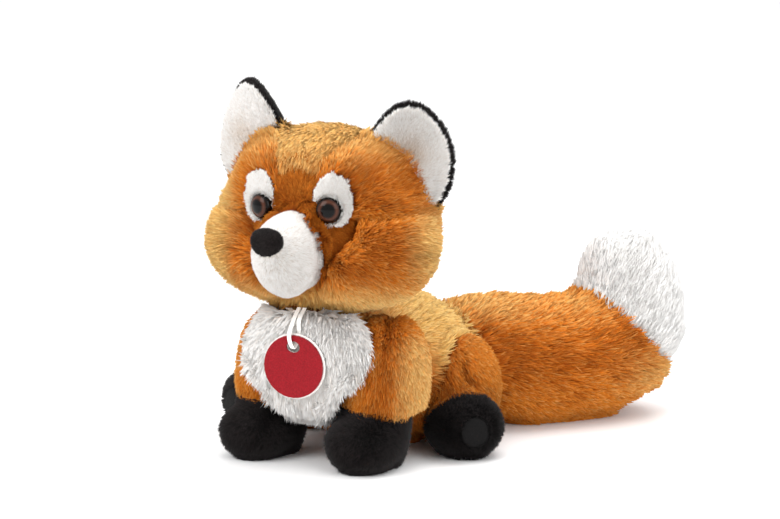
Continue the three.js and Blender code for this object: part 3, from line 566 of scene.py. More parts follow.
def fur(name, base, node, count, length, comb, finish, seed, width=0.23, lift=0.7, lay=0.3, wave=0.25,
        tuft=1.4, gather=0.3, tint_and_painted_light=None, tone=None, mottle=1.0, clear=2.0, where=None):
    """A count of fibres on a skin, lying along comb(places, normals), their sizes in millimetres.

    lift and lay say how far the lower and the upper half stand up from the skin, gather how much the
    fibres of a tuft meet at their tips. length, the second ramp's share, tone and where can each be a
    function of places and normals: the second ramp's share paints a glow of light, a highlight and shade,
    with a warm tint on white pile; tone lightens and darkens, painted shade at seams and folds among it;
    and where says how densely pile grows.
    """
    random = np.random.default_rng(seed)
    root, normal = roots_of(base, node, count, clear, where, random)
    mm = root / MM
    flow = combed(comb(mm, normal), root, normal, wave, seed, random)
    size = length(mm, normal) if callable(length) else np.full(count, float(length))
    size = size * MM * (SHORTEST + LENGTH_SPREAD * random.random(count))
    size *= 1 + LENGTH_CHANGE * drift(root, LENGTH_PATCH * MM, seed + 7)
    lower = unit(normal * lift + flow * (1 - lift) + random.normal(0, LOWER_STRAY, (count, 3)))
    upper = unit(normal * lay + flow * (1 - lay) + random.normal(0, UPPER_STRAY, (count, 3)))
    foot = root - normal * ROOT_DEPTH * MM
    bend = foot + lower * size[:, None] / 2
    tip = bend + upper * size[:, None] / 2
    tuft_of = tufts(root, tuft * MM, seed + 8)
    members = np.maximum(np.bincount(tuft_of), 1)
    gathered = np.stack([np.bincount(tuft_of, tip[:, i]) / members for i in range(3)], axis=1)[tuft_of]
    tip += (gathered - tip) * gather * (1 + random.random(count))[:, None] / 2
    for part in (bend, tip):
        part[:, 2] = np.maximum(part[:, 2], FLOOR_GAP * MM)
    half = width * MM * (NARROWEST + WIDTH_SPREAD * random.random(count))[:, None]
    across = unit(np.cross(tip - foot, normal) + random.normal(0, LEAST_ASIDE, (count, 3)))
    rise = unit(np.cross(across, tip - foot))
    rise = np.where((rise * normal).sum(1, keepdims=True) < 0, -rise, rise)
    verts = np.stack([
        foot + across * half, foot - across * half, bend + rise * half * BEND_WIDTH, tip,
    ], axis=1)
    shown = np.stack([
        normal, normal, unit(normal * BEND_SHADING + rise * (1 - BEND_SHADING)),
        unit(normal * TIP_SHADING + unit(tip - bend) * (1 - TIP_SHADING)),
    ], axis=1)
    level = np.random.default_rng(seed + 9).normal(0, TUFT_TONE, tuft_of.max() + 1)[tuft_of]
    level += random.normal(0, FIBRE_TONE, count) + PATCH_TONE * drift(root, TONE_PATCH * MM, seed + 10)
    level = mottle * np.clip(level, -MOST_TONE, MOST_TONE)
    if tone is not None:
        level = level + tone(mm, normal)
    share = np.zeros(count)
    if tint_and_painted_light is not None:
        share = np.clip(np.clip(tint_and_painted_light(mm, normal), 0, 1) + random.normal(0, PALE_SPREAD, count), 0, 1)
    corners = len(REACHES)
    coat = np.stack([
        np.tile(REACHES, (count, 1)), np.repeat(level[:, None], corners, 1),
        np.repeat(share[:, None], corners, 1),
    ], axis=2)
    obj = fibres(name, verts, shown, coat, finish)
    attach(obj, nodes[node]["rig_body"])
    return obj


# A fibre is closed: its corners' places in its own cell of the map, and its faces.
FIBRE_CELL = np.array([[0.15, 0.12], [0.85, 0.12], [0.6, 0.55], [0.5, 0.9]])
FIBRE_FACES = np.array([[0, 1, 2], [0, 3, 1], [0, 2, 3], [1, 3, 2]])


def fibres(name, verts, normals, coat, finish):
    """A mesh of separate closed fibres, each with its own cell of a map that colours can be baked to."""
    count, corners = len(verts), len(FIBRE_CELL)
    a, b, c, d = verts.transpose(1, 0, 2)
    volume = (np.cross(b - a, c - a) * (d - a)).sum(1)
    faces = np.where((volume > 0)[:, None, None], FIBRE_FACES[:, ::-1], FIBRE_FACES)
    flat = (faces + (np.arange(count) * corners)[:, None, None]).reshape(-1).astype(np.int32)
    mesh = bpy.data.meshes.new(name)
    mesh.vertices.add(count * corners)
    mesh.vertices.foreach_set("co", verts.astype(np.float32).ravel())
    mesh.loops.add(len(flat))
    mesh.loops.foreach_set("vertex_index", flat)
    mesh.polygons.add(len(flat) // 3)
    mesh.polygons.foreach_set("loop_start", np.arange(0, len(flat), 3, dtype=np.int32))
    mesh.update(calc_edges=True)
    mesh.polygons.foreach_set("use_smooth", np.ones(len(flat) // 3, bool))
    kept = mesh.attributes.new("coat", "FLOAT_VECTOR", "POINT")
    kept.data.foreach_set("vector", coat.astype(np.float32).ravel())
    columns = math.ceil(math.sqrt(count))
    cell = np.stack([np.arange(count) % columns, np.arange(count) // columns], axis=1)
    places = (cell[:, None, :] + FIBRE_CELL) / columns
    layer = mesh.uv_layers.new(name="OFBake")
    layer.uv.foreach_set("vector", places.reshape(-1, 2)[flat].astype(np.float32).ravel())
    mesh.normals_split_custom_set_from_vertices(unit(normals).reshape(-1, 3).tolist())
    mesh.materials.append(finish)
    return placed(bpy.data.objects.new(name, mesh))


# What a piece is sewn from: its pile, its material slot and its backing.
LONG_ORANGE = (PLUSH_ORANGE, "long_pile_orange", BACKING_ORANGE)
LONG_WHITE = (PLUSH_WHITE, "long_pile_white", BACKING_WHITE)
SHORT_WHITE = (PLUSH_WHITE, "short_pile_white", BACKING_WHITE)
SHORT_BLACK = (PLUSH_BLACK, "short_pile_black", BACKING_BLACK)
FELT = (PLUSH_BLACK, "flocked_black", FELT_BLACK)
VELOUR = (None, "velour_black", VELOUR_BLACK)


def plush(node, sewn_from, cloth, piles):
    """A filled piece: its skin of cloth, and the piles that grow on it, if any."""
    pile, slot, backing = sewn_from
    base = skin(node, **cloth)
    base.data.materials.append(backing)
    for name, facts in piles.items():
        fur(name, base, node, finish=pile, **facts)


def all_over(share):
    return lambda mm, normal: np.full(len(mm), share)


def toward(x, y, z):
    return lambda mm, normal: np.broadcast_to(np.array([x, y, z], float), mm.shape)


def away_from(x, y, z):
    return lambda mm, normal: mm - np.array([x, y, z], float)


# Tag loop: a flat ribbon from the neck seam, down in front of the disc and back through its slot

# Where the loop leaves the neck seam, the tag's turn, and the loop's route from there, in millimetres.
LOOP_TOP = np.array([0, -77, 77])
TAG_TURN = math.radians(8)
LOOP_ROUTE = [
    (-1.4, 0, 0), (-1.4, -7.2, -5.1), (-1.2, -12.4, -12.2), (0, -10.272, -17.68),
    (1.2, -6.7, -13.0), (1.4, -6.9, -5.1), (1.4, 0, 0),
]
ROUTE_STEPS = 6
RIBBON_WIDTH, RIBBON_THICKNESS = 2.0, 0.5
# The ribbon's section as shares of its width and thickness: flat, with its edges eased.
RIBBON_SECTION = [
    (0.5, -0.3), (0.5, 0.3), (0.4, 0.5), (-0.4, 0.5), (-0.5, 0.3), (-0.5, -0.3), (-0.4, -0.5), (0.4, -0.5),
]


def smooth_line(points, steps):
    """Points on a centripetal curve through the given ones."""
    p = np.array(points, float)
    p = np.concatenate([[2 * p[0] - p[1]], p, [2 * p[-1] - p[-2]]])
    line = []
    for i in range(1, len(p) - 2):
        four = p[i - 1 : i + 3]
        gaps = np.maximum(np.linalg.norm(np.diff(four, axis=0), axis=1) ** 0.5, TINY)
        t = np.concatenate([[0], np.cumsum(gaps)])
        for s in np.linspace(t[1], t[2], steps, endpoint=False):
            level = [four[k] + (four[k + 1] - four[k]) * (s - t[k]) / (t[k + 1] - t[k]) for k in range(3)]
            level = [level[k] + (level[k + 1] - level[k]) * (s - t[k]) / (t[k + 2] - t[k]) for k in range(2)]
            line.append(level[0] + (level[1] - level[0]) * (s - t[1]) / (t[2] - t[1]))
    return np.array(line + [p[-2]])


def in_tag(points):
    """Places of the tag's own group, in the fox's space, in metres."""
    p = np.array(points, float)
    cosine, sine = math.cos(TAG_TURN), math.sin(TAG_TURN)
    turned = np.stack([p[:, 0] * cosine - p[:, 1] * sine, p[:, 0] * sine + p[:, 1] * cosine, p[:, 2]], axis=1)
    return (turned + LOOP_TOP) * MM


def flat_ribbon(name, line, width, thickness):
    """A ribbon along a line: its section, extruded from place to place, flat against the tag."""
    run = unit(np.gradient(line, axis=0))
    sideways = in_tag([(1, 0, 0)])[0] - in_tag([(0, 0, 0)])[0]
    sideways = unit(sideways - run * (run @ sideways)[:, None])
    through = np.cross(run, sideways)
    bm = bmesh.new()
    corners = [
        bm.verts.new(line[0] + sideways[0] * u * width + through[0] * v * thickness)
        for u, v in RIBBON_SECTION
    ]
    edges = [bm.edges.new(pair) for pair in zip(corners, corners[1:] + corners[:1])]
    bmesh.ops.contextual_create(bm, geom=edges)
    for i in range(1, len(line)):
        grown = bmesh.ops.extrude_edge_only(bm, edges=edges)["geom"]
        edges = [part for part in grown if isinstance(part, bmesh.types.BMEdge)]
        for corner in {vert for edge in edges for vert in edge.verts}:
            offset = np.array(corner.co) - line[i - 1]
            u, v = offset @ sideways[i - 1], offset @ through[i - 1]
            corner.co = line[i] + sideways[i] * u + through[i] * v
    bmesh.ops.contextual_create(bm, geom=edges)
    bmesh.ops.recalc_face_normals(bm, faces=bm.faces)
    return meshed(name, bm)


ribbon_line = in_tag(smooth_line(LOOP_ROUTE, ROUTE_STEPS))
ribbon = flat_ribbon("ribbon_loop", ribbon_line, RIBBON_WIDTH * MM, RIBBON_THICKNESS * MM)
ribbon.data.materials.append(RIBBON)
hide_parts("tag_loop")
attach(ribbon, "tag")


# Head: panels sewn along seams that pull in, and filling that swells between them

HEAD_MIDDLE = np.array([0.0, -56.0, 119.0])
HEAD_TURN = math.radians(5)
# Lines and places in the head's own directions: across, back and up from its middle, for both sides.
CROWN_SEAM = [(26, -3.5, 39.5), (20, -15.5, 36.5), (15.5, -24.2, 31.2), (12.5, -28, 27), (10.5, -29.6, 23.5)]
FRINGE_SEAM = [(10.5, -29.6, 23.5), (4, -28.6, 27.4), (0, -28.4, 27.8)]
SIDE_SEAM = [(28.7, -26.4, 3.5), (39, -23.7, 3), (47, -18.6, 3.5), (52.6, -9.7, 4), (55, 2, 5)]
CHEEK_FOLD = [(28.5, -26.6, 1), (26.5, -28.2, -9), (19, -30.6, -15), (12, -31, -18.4)]
MUZZLE_RIM = [(12, -33, 1), (15, -34, -6), (17, -35, -14), (15, -35, -24), (10, -34, -31)]
# Each seam's line, how far it pulls in and how wide the pull is.
HEAD_SEAMS = [(CROWN_SEAM, 4.6, 3.0), (FRINGE_SEAM, 3.0, 2.8), (SIDE_SEAM, 3.6, 2.8), (CHEEK_FOLD, 4.0, 3.2)]
# Each swelling's place, height (below zero, a hollow) and spread.
HEAD_SWELLS = [
    ((22, -24, 27), 2.4, 9), ((22, -27, -22), 4.2, 9), ((45, -17, -12), 1.8, 13), ((46, -10, 18), -1.6, 11),
    ((0, -20, 37), 1.4, 12), ((20, -30, -7), -1.6, 6), ((17, -27, -28), 3.0, 8), ((17, -31, 0), 1.6, 5),
    ((8.5, -32, 12), 2.4, 4), ((9, -32.5, 5), 3.4, 4.5),
]
# Near a seam the pile is short, darker as painted shade in the seam's groove, and with less painted glow: how
# near, and by how much.
SEAM_PILE, SEAM_SHORT, SEAM_SHADE, SEAM_LESS_GLOW = 2.6, 0.6, 2.6, 0.5
# Half the crown gusset's width by height, its front edge's height by width, and where it widens behind.
GUSSET = ((23, 27, 31, 36, 39), (10.5, 12.5, 15.5, 20, 25))
GUSSET_FRONT = ((0, 4, 10.5), (28.5, 28, 23.5))
GUSSET_BEHIND, GUSSET_WIDTH_BEHIND = 6, 23
# Half the bridge's width by height, its lower edge and how far back it goes.
BRIDGE = ((-19, -16, -11, -5, 1, 4, 10, 24), (11, 17, 25, 27, 26, 12, 9.5, 10))
BRIDGE_FOOT, BRIDGE_BACK = -19, -12
SIDE_PANEL, CROWN_PANEL, BRIDGE_PANEL = range(3)
# The crown's pile is denser ahead of this line than behind it.
CROWN_DENSE_TO, CROWN_DENSITY = 8, 2.6
# Where the head's pile has a painted golden glow of light through it, at the sides, low down and on top: from
# where, to where, and the most.
GLOW_SIDE, GLOW_LOW, GLOW_TOP = (42, 57, 0.9), (18, 38, 0.8), (16, 40, 0.7)
# The painted glow on the right cheek starts this much nearer the face, from the middle and the front.
RIGHT_GLOW, RIGHT_FROM, RIGHT_AHEAD = 16, (0, 10), (-5, 15)
# How far the muzzle's rim is drawn in, how wide that is, and how wide the pile stands over it.
MUZZLE_DRAWN, MUZZLE_DRAWN_SPREAD = 1.8, 8
RIM_PILE_SPREAD, RIM_PILE_POWER = 4.5, 4
# Places in the fox's own directions that the head's pile grows away from, or toward.
FACE_MIDDLE = (4.0, -92.0, 112.0)
FOREHEAD_MIDDLE = (4, -100, 128)
MUZZLE_MIDDLE = np.array([4.0, -112, 104])
MUZZLE_TIP = (5, -125, 112)


def in_head(mm):
    """Places in the head's own directions, from its middle, and which side of it they are on."""
    p = mm - HEAD_MIDDLE
    cosine, sine = math.cos(HEAD_TURN), math.sin(HEAD_TURN)
    across = p[:, 0] * cosine + p[:, 1] * sine
    return np.stack([np.abs(across), p[:, 1] * cosine - p[:, 0] * sine, p[:, 2]], axis=1), across


def head_form(mm):
    p = in_head(mm)[0]
    rise = sum(height * bell(from_place(p, place), spread) for place, height, spread in HEAD_SWELLS)
    return rise - sum(depth * bell(from_line(p, line), spread) for line, depth, spread in HEAD_SEAMS)


def head_seam(mm):
    """How near a place is to a seam of the head, from 0 to 1."""
    p = in_head(mm)[0]
    return sum(bell(from_line(p, line), SEAM_PILE) for line, _, _ in HEAD_SEAMS).clip(0, 1)


def head_panel_at(mm):
    """The head's panel at each place: a side, the crown gusset, or the bridge between the eyes."""
    across, back, up = in_head(mm)[0].T
    front = np.interp(across, *GUSSET_FRONT)
    crown = (across < np.interp(up, *GUSSET)) & (up > front) & (back < GUSSET_BEHIND)
    crown |= (across < GUSSET_WIDTH_BEHIND) & (back >= GUSSET_BEHIND) & (up > 0)
    bridge = (back < BRIDGE_BACK) & (up <= front) & (up > BRIDGE_FOOT) & (across < np.interp(up, *BRIDGE))
    return np.where(crown, CROWN_PANEL, np.where(bridge, BRIDGE_PANEL, SIDE_PANEL))


def on_panel(panel, sign=0):
    return lambda mm, normal: (head_panel_at(mm) == panel) & (in_head(mm)[1] * sign >= 0)


def on_crown(mm, normal):
    ahead = in_head(mm)[0][:, 1] < CROWN_DENSE_TO
    return (head_panel_at(mm) == CROWN_PANEL) * np.where(ahead, CROWN_DENSITY, 1.0)


def by_muzzle(mm, normal):
    return bell(from_line(in_head(mm)[0], MUZZLE_RIM), RIM_PILE_SPREAD, RIM_PILE_POWER)


def head_length(full):
    return lambda mm, normal: full * (1 - SEAM_SHORT * head_seam(mm))


def head_tone_and_seam_shade(extra=0.0):
    # The darkening near seams is painted shade in their grooves.
    return lambda mm, normal: extra - SEAM_SHADE * head_seam(mm)


def head_painted_glow(extra=0.0):
    """The head's painted glow of light through the pile: its sides, the right one further, its low parts and
    its top.
    """

    def tint_and_painted_light(mm, normal):
        p, across = in_head(mm)
        glow_reach = RIGHT_GLOW * smooth_step(-across, *RIGHT_FROM) * smooth_step(-p[:, 1], *RIGHT_AHEAD)
        side = fade(p[:, 0] + glow_reach, *GLOW_SIDE)
        low_or_top = np.maximum(fade(-p[:, 2], *GLOW_LOW), fade(p[:, 2], *GLOW_TOP))
        return np.maximum(side, low_or_top) + extra - SEAM_LESS_GLOW * head_seam(mm)

    return tint_and_painted_light


def muzzle_form(mm):
    """The muzzle's flanks, drawn in by the cheeks."""
    return -MUZZLE_DRAWN * bell(from_line(in_head(mm)[0], MUZZLE_RIM), MUZZLE_DRAWN_SPREAD)


def to_muzzle(mm, normal):
    """The comb of the cheek's pile that lies over the muzzle's rim."""
    return MUZZLE_MIDDLE - mm


HEAD_CLOTH = dict(voxel=1.8, draw_in=4.2, smoothing=8, form=head_form, over=("eye_patch",))
HEAD_SIDE = dict(
    length=head_length(8.5), comb=away_from(*FACE_MIDDLE), tint_and_painted_light=head_painted_glow(), tone=head_tone_and_seam_shade(), clear=5.5,
)
plush("head", LONG_ORANGE, HEAD_CLOTH, {
    "head_fur_left": dict(HEAD_SIDE, count=44000, where=on_panel(SIDE_PANEL, 1), seed=11),
    "head_fur_right": dict(HEAD_SIDE, count=42000, where=on_panel(SIDE_PANEL, -1), seed=12),
    "head_fur_crown": dict(
        count=28000, length=head_length(9.5), comb=toward(0.06, -1, -0.75), tint_and_painted_light=head_painted_glow(0.02),
        where=on_crown, seed=13, clear=5.5, lift=0.25, lay=0.03, mottle=0.3, wave=0.1, width=0.19, gather=0.1,
    ),
    "head_fur_bridge": dict(
        count=14000, length=head_length(5.5), comb=away_from(*FOREHEAD_MIDDLE), tone=head_tone_and_seam_shade(-2.0),
        where=on_panel(BRIDGE_PANEL), seed=14, clear=5.5,
    ),
    # The rim's pile is darker by 0.6 as painted shade in the fold between the cheek and the muzzle.
    "head_fur_rim": dict(
        count=5000, length=7.5, comb=to_muzzle, tone=head_tone_and_seam_shade(-0.6), where=by_muzzle, seed=15, clear=0.8,
        lift=0.85, lay=0.7, width=0.19, gather=0.1,
    ),
})
plush("muzzle", SHORT_WHITE, dict(voxel=1.2, draw_in=1.4, form=muzzle_form), {
    "muzzle_fur": dict(
        count=20000, length=2.4, comb=away_from(*MUZZLE_TIP), tint_and_painted_light=all_over(0.12), seed=54, tuft=1.1,
        gather=0.2, lift=0.75, lay=0.5, width=0.17,
    ),
})


# Eye patches and ears

# What the pile of the left patch, ear back and lining grows away from.
PATCH_MIDDLE, PATCH_SHIFT = (17, -88, 126), 2.7
EAR_BACK_FOOT = (38, -50, 135)
EAR_FRONT_FOOT = (38, -56, 130)
# The fold at the foot of each lining, its spread, the beige painted there as shade in the fold, and the warm
# beige tint elsewhere.
LINING_FOLD = {"left": (43, -52, 149), "right": (-43, -52, 154)}
FOLD_SPREAD, LINING_FOLD_SHADE, LINING_PALE = 9, 0.8, 0.12


def lining_tint_and_shade(fold):
    return lambda mm, normal: LINING_PALE + LINING_FOLD_SHADE * bell(from_place(mm, fold), FOLD_SPREAD)


for side, sign in SIDES:
    mirrored = np.array([sign, 1, 1])
    plush(f"eye_patch_{side}", SHORT_WHITE, dict(voxel=0.7, draw_in=0.3, smoothing=3), {
        f"eye_patch_fur_{side}": dict(
            count=7500, length=3.0, comb=away_from(*(mirrored * PATCH_MIDDLE + [PATCH_SHIFT, 0, 0])),
            tint_and_painted_light=all_over(0.16), seed=51 + sign, tuft=1.0, gather=0.12, lift=0.6, lay=0.35, width=0.14,
        ),
    })
    plush(f"ear_back_{side}", SHORT_BLACK, dict(voxel=1.2, draw_in=1.4, smoothing=3), {
        f"ear_fur_{side}": dict(
            count=8000, length=3.6, comb=away_from(*(mirrored * EAR_BACK_FOOT)), seed=44 + sign, tuft=1.6,
            lay=0.4,
        ),
    })
    plush(f"ear_lining_{side}", SHORT_WHITE, dict(voxel=0.8, draw_in=0.5, smoothing=3), {
        f"ear_lining_fur_{side}": dict(
            count=11000, length=3.4, comb=away_from(*(mirrored * EAR_FRONT_FOOT)),
            tint_and_painted_light=lining_tint_and_shade(LINING_FOLD[side]), seed=47 + sign, tuft=1.3, gather=0.2, lift=0.65, lay=0.35,
            width=0.17,
        ),
    })


# Torso: a seam down the back, pile combed backward, darker in front as painted shade under the chin

# The back seam's half width, the height that it starts from, how deep it is and how much darker it is
# painted, as shade in its groove.
BACK_SEAM_WIDTH, BACK_SEAM_FROM, BACK_SEAM_DEPTH, BACK_SEAM_SHADE = 2.2, 45, 1.2, 0.8
# Where the pile has a painted glow of light: as it faces up, and high up toward the back. From, to and the
# most.
TORSO_LIT_UP, TORSO_GLOW_BACK, TORSO_GLOW_HIGH = (-0.1, 0.8, 0.5), (-45, -10, 0.5), (18, 50)
# Where painted shade darkens it, ahead of the shoulders under the chin.
TORSO_SHADE_AHEAD = (55, 75, 1.0)


def back_seam(mm):
    """The seam down the middle of the back, from 0 to 1."""
    return bell(mm[:, 0], BACK_SEAM_WIDTH) * (mm[:, 2] > BACK_SEAM_FROM)


def torso_form(mm):
    return -BACK_SEAM_DEPTH * back_seam(mm)


def torso_painted_glow(mm, normal):
    back = fade(mm[:, 1], *TORSO_GLOW_BACK) * smooth_step(mm[:, 2], *TORSO_GLOW_HIGH)
    return fade(normal[:, 2], *TORSO_LIT_UP) + back


def torso_painted_shade(mm, normal):
    return -BACK_SEAM_SHADE * back_seam(mm) - fade(-mm[:, 1], *TORSO_SHADE_AHEAD)


LONG_CLOTH = dict(voxel=2.5, draw_in=4.2, smoothing=8)
plush("torso", LONG_ORANGE, dict(LONG_CLOTH, form=torso_form), {
    "torso_fur": dict(
        count=37000, length=8.0, comb=toward(0, 1, -0.45), tint_and_painted_light=torso_painted_glow, tone=torso_painted_shade, seed=21,
        clear=7.0,
    ),
})


# Tail: combed from root to tip, with a painted glow of light along its top and near its end

TAIL_HEADING = math.radians(37)
TAIL_AHEAD = (math.sin(TAIL_HEADING), math.cos(TAIL_HEADING), 0.05)
# Where the pile has a painted glow of light: along the top near the root, low at the outer side, and facing
# up.
TAIL_GLOW_TOP, TAIL_GLOW_ROOT = (46, 62, 0.6), (-85, -35)
TAIL_GLOW_END, TAIL_GLOW_LOW = (80, 104, 0.6), (-50, -20)
TAIL_LIT_UP = (0.4, 1.0, 0.3)
# Where the tip is shaded, low down.
TIP_DARK_LOW = (-55, -20, 1.5)


def tail_painted_glow(mm, normal):
    top = fade(mm[:, 2], *TAIL_GLOW_TOP) * smooth_step(-mm[:, 1], *TAIL_GLOW_ROOT)
    end = fade(mm[:, 0], *TAIL_GLOW_END) * smooth_step(-mm[:, 2], *TAIL_GLOW_LOW)
    return np.maximum(np.maximum(top, end), fade(normal[:, 2], *TAIL_LIT_UP))


def tip_tone(mm, normal):
    return -fade(-mm[:, 2], *TIP_DARK_LOW)


plush("tail", LONG_ORANGE, dict(LONG_CLOTH, draw_in=4.6), {
    "tail_fur": dict(
        count=42000, length=10.0, comb=toward(*TAIL_AHEAD), tint_and_painted_light=tail_painted_glow, tone=all_over(1.0), seed=22,
        wave=0.4, tuft=2.0, gather=0.4, clear=0.8,
    ),
})
plush("tail_tip", LONG_WHITE, LONG_CLOTH, {
    "tail_tip_fur": dict(
        count=29000, length=9.0, comb=toward(0.3, 0.4, 0.85), tone=tip_tone, seed=23, gather=0.08, lift=0.45,
        lay=0.15, mottle=0.3, width=0.2, wave=0.15,
    ),
})


# Bib: long pile hanging down, pressed short behind the hang tag

# The pile's length, and where and how much shorter it is behind the tag.
BIB_LONG, BIB_PRESSED = 9.5, 7
PRESSED_MIDDLE, PRESSED_FADE, PRESSED_AHEAD = (1.2, 0, 51), (13, 19), -74
# How the comb fans out to the sides and leans ahead as it hangs.
BIB_FAN, BIB_AHEAD = 0.014, -0.2
# Pile grows where the skin faces less to the back than this.
BIB_FRONT = 0.15
# How beige it is, and how much more in the shade of the chin.
BIB_PALE, BIB_SHADED = 0.08, (70, 84, 0.3)


def bib_length(mm, normal):
    beside = from_place(mm * [1, 0, 1], PRESSED_MIDDLE)
    return BIB_LONG - BIB_PRESSED * (1 - smooth_step(beside, *PRESSED_FADE)) * (mm[:, 1] < PRESSED_AHEAD)


def bib_comb(mm, normal):
    return mm * [BIB_FAN, 0, 0] + [0, BIB_AHEAD, -1]


def bib_front(mm, normal):
    return (normal[:, 1] < BIB_FRONT) * 1.0


def bib_pale(mm, normal):
    return BIB_PALE + fade(mm[:, 2], *BIB_SHADED)


plush("chest_bib", LONG_WHITE, dict(voxel=1.6, draw_in=2.2, smoothing=4), {
    "bib_fur": dict(
        count=35000, length=bib_length, comb=bib_comb, where=bib_front, tint_and_painted_light=bib_pale, seed=24, wave=0.12,
        tuft=1.8, gather=0.08, lift=0.42, lay=0.16, width=0.19, mottle=0.3, clear=0.0,
    ),
})


# Legs: sleeves, boots, folded haunches and feet

# Painted light where the pile faces outward or up, a golden glow on orange pile and a highlight on black:
# from and to a share of facing, and the most.
SLEEVE_GLOW, BOOT_HIGHLIGHT, FOOT_HIGHLIGHT = (0.55, 1.0, 0.6), (0.2, 1.0, 0.35), (0.2, 1.0, 0.3)
# The thigh's painted glow along its top: from and to a height, and the most.
THIGH_GLOW = (48, 60, 0.4)
# Folds that the stitches draw into the left haunch, mirrored for the right one.
THIGH_FOLDS = [[(51.8, -13.6, 46), (54, -18.6, 31)], [(54.8, -14, 40), (56.5, -13.8, 33)]]
FOLD_DEPTH, FOLD_WIDTH, FOLD_SHADE_WIDTH = 2.4, 2.2, 2.0
# The thighs' own darker tone, the painted shade in their folds, and painted shade lower down the thigh.
THIGH_TONE, THIGH_FOLD_SHADE, THIGH_SHADE_LOW = -0.5, 2.0, (-46, -20, 2.2)


def thigh_folds(mm, width):
    """How near a place of either thigh is to a fold."""
    left = np.abs(mm) * [1, 0, 0] + mm * [0, 1, 1]
    return [bell(from_line(left, line), width) for line in THIGH_FOLDS]


def thigh_form(mm):
    return -sum(FOLD_DEPTH * fold for fold in thigh_folds(mm, FOLD_WIDTH))


def thigh_tone_and_shade(mm, normal):
    folds = sum(thigh_folds(mm, FOLD_SHADE_WIDTH))
    return THIGH_TONE - THIGH_FOLD_SHADE * folds - fade(-mm[:, 2], *THIGH_SHADE_LOW)


def thigh_painted_glow(mm, normal):
    return fade(mm[:, 2], *THIGH_GLOW)


def lit_facing(limits, axis, sign=1):
    return lambda mm, normal: fade(normal[:, axis] * sign, *limits)


for side, sign in SIDES:
    plush(f"front_leg_{side}", LONG_ORANGE, dict(voxel=2.0, draw_in=3.2), {
        f"sleeve_fur_{side}": dict(
            count=15000, length=8.0, comb=toward(0, -0.12, -1), seed=31 + sign,
            tint_and_painted_light=lit_facing(SLEEVE_GLOW, 0, sign),
        ),
    })
    plush(f"front_paw_{side}", SHORT_BLACK, dict(voxel=1.6, draw_in=1.8), {
        f"boot_fur_{side}": dict(
            count=13000, length=4.4, comb=toward(0, -0.8, -0.7), tint_and_painted_light=lit_facing(BOOT_HIGHLIGHT, 2),
            seed=34 + sign, lift=0.8, lay=0.55,
        ),
    })
    plush(f"thigh_{side}", LONG_ORANGE, dict(voxel=1.8, draw_in=2.8, form=thigh_form), {
        f"thigh_fur_{side}": dict(
            count=14000, length=6.5, comb=toward(0, 0.25, -1), tint_and_painted_light=thigh_painted_glow, tone=thigh_tone_and_shade,
            seed=37 + sign,
        ),
    })
    plush(f"hind_paw_{side}", SHORT_BLACK, dict(voxel=1.6, draw_in=1.6), {
        f"foot_fur_{side}": dict(
            count=9500, length=4.4, comb=toward(sign * 0.5, -0.7, 0.2), tint_and_painted_light=lit_facing(FOOT_HIGHLIGHT, 2),
            seed=41 + sign, lift=0.8, lay=0.55,
        ),
    })


# Nose: a small pad of felt, with the fuzz of its own fibres

NOSE_MIDDLE = (5, -112, 113)
plush("nose", FELT, dict(voxel=0.8, draw_in=0.3, smoothing=3), {
    "nose_fuzz": dict(
        count=3500, length=1.2, comb=away_from(*NOSE_MIDDLE), seed=61, tuft=0.8, gather=0.1, lift=0.8,
        lay=0.6, width=0.12,
    ),
})


# Eyes and soles: each eye is a printed disc under a dome, on the axis of its stem

# Sections of both from their middle to their rim, in millimetres above the eye's seat.
RECESS_RADIUS, RECESS_TOP, RIM_FOOT = 5.2, 0.8, -0.3
PRINT_GAP = 0.01
PRINT_RIM, PRINT_FOOT = 5.97, -0.5
PRINT_SECTION = [
    (0, RECESS_TOP - PRINT_GAP), (RECESS_RADIUS - PRINT_GAP, RECESS_TOP - PRINT_GAP),
    (RECESS_RADIUS - PRINT_GAP, RIM_FOOT - PRINT_GAP), (PRINT_RIM, RIM_FOOT - PRINT_GAP),
    (PRINT_RIM, PRINT_FOOT), (0, PRINT_FOOT),
]
# The dome is half an ellipse that rises from its straight edge, drawn in steps of so many degrees.
DOME_EDGE, DOME_RISE, DOME_STEP = 0.5, 3.4, 6
DOME_FOOT = [(0, RECESS_TOP), (RECESS_RADIUS, RECESS_TOP), (RECESS_RADIUS, RIM_FOOT), (EYE_RADIUS, RIM_FOOT)]
DOME_SECTION = DOME_FOOT + [
    (EYE_RADIUS * math.cos(math.radians(angle)), DOME_EDGE + DOME_RISE * math.sin(math.radians(angle)))
    for angle in range(0, 90 + 1, DOME_STEP)
]
# The seat is this far under the middle of the CAD disc.
SEAT_DEPTH = 0.25
# Steps of a full turn, how near corners are welded, and the angle from which an edge is sharp.
TURNED_STEPS, WELDED, SHARP = 64, 0.001, math.radians(40)


def spun(name, section, turn, finish):
    """A form turned about its own axis from a section of (radius, height) corners, its sharp edges kept."""
    bm = bmesh.new()
    line = [bm.verts.new((x * MM, 0, z * MM)) for x, z in section]
    edges = [bm.edges.new(pair) for pair in zip(line, line[1:])]
    bmesh.ops.spin(
        bm, geom=line + edges, axis=(0, 0, 1), cent=(0, 0, 0), steps=TURNED_STEPS, angle=2 * math.pi,
        use_merge=True,
    )
    bmesh.ops.remove_doubles(bm, verts=bm.verts, dist=WELDED * MM)
    bmesh.ops.recalc_face_normals(bm, faces=bm.faces)
    bmesh.ops.transform(bm, matrix=turn, verts=bm.verts)
    for face in bm.faces:
        face.smooth = True
    for edge in bm.edges:
        edge.smooth = edge.calc_face_angle(0) < SHARP
    obj = meshed(name, bm)
    obj.data.materials.append(finish)
    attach(obj, "head")
    return obj


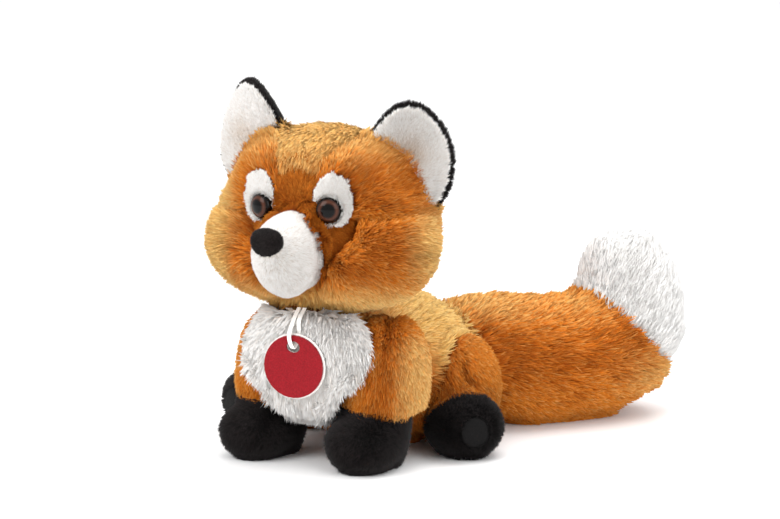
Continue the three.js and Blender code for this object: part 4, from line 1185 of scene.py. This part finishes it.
def eye(side):
    """One eye's print and dome, turned about the axis of its stem."""
    stem = points_of(nodes[f"eye_stem_{side}"].data)[0].mean(0)
    disc = points_of(nodes[f"eye_iris_{side}"].data)[0].mean(0)
    facing = Vector(disc - stem).normalized()
    turn = facing.to_track_quat("Z", "Y").to_matrix().to_4x4()
    turn.translation = Vector(disc) - facing * SEAT_DEPTH * MM
    rings = iris_print(list(turn.translation), list(facing))
    # Printed vinyl, with a satin face.
    vinyl = surface(f"printed_iris_{side}", rings, Roughness=0.4, Specular_IOR_Level=0.2)
    printed = spun(f"printed_iris_{side}", PRINT_SECTION, turn, vinyl)
    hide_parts(f"eye_iris_{side}")
    # Clear moulded acrylic, filled down to the print: the rings show at its face, under a hard gloss.
    acrylic = surface(f"moulded_acrylic_over_print_{side}", rings, Roughness=0.06, Specular_IOR_Level=0.16)
    dome = spun(f"clear_dome_{side}", DOME_SECTION, turn, acrylic)
    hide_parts(f"eye_lens_{side}")


for side, _ in SIDES:
    plush(f"hind_sole_{side}", VELOUR, dict(voxel=0.8, draw_in=0.1, smoothing=4), {})
    eye(side)
    nodes[f"eye_stem_{side}"].data.materials[0] = PLASTIC_BLACK
    nodes[f"eye_washer_{side}"].data.materials[0] = PLASTIC_WHITE
nodes["tag_front"].data.materials[0] = FELT_RED
nodes["tag_back"].data.materials[0] = CARD_WHITE


# Floor and light: a pale studio sweep under large soft boxes

# Half the floor's side, and the place that every light faces, in metres.
FLOOR_HALF = 6
AIM = Vector((0, 0, 0.08))
SKY_STRENGTH = 1.05
floor_bm = bmesh.new()
bmesh.ops.create_grid(floor_bm, x_segments=1, y_segments=1, size=FLOOR_HALF)
floor = meshed("studio_floor", floor_bm)
floor.data.materials.append(SWEEP_WHITE)


def soft_box(name, place, size, power):
    """A square light: its place and size in metres, its power in watts."""
    light = placed(bpy.data.objects.new(name, bpy.data.lights.new(name, "AREA")))
    light.data.shape = "SQUARE"
    light.data.size = size
    light.data.energy = power
    light.location = place
    light.rotation_mode = "QUATERNION"
    light.rotation_quaternion = (AIM - Vector(place)).to_track_quat("-Z", "Y")


soft_box("key", place=(-0.5, -1.6, 1.3), size=1.2, power=21)
soft_box("fill", place=(1.8, -0.6, 0.9), size=1.4, power=12)
soft_box("top", place=(0.2, 0.5, 1.9), size=1.6, power=24)

world = bpy.data.worlds.new("studio")
bpy.context.scene.world = world
world.use_nodes = True
world.node_tree.nodes["Background"].inputs["Color"].default_value = linear("#ffffff")
world.node_tree.nodes["Background"].inputs["Strength"].default_value = SKY_STRENGTH
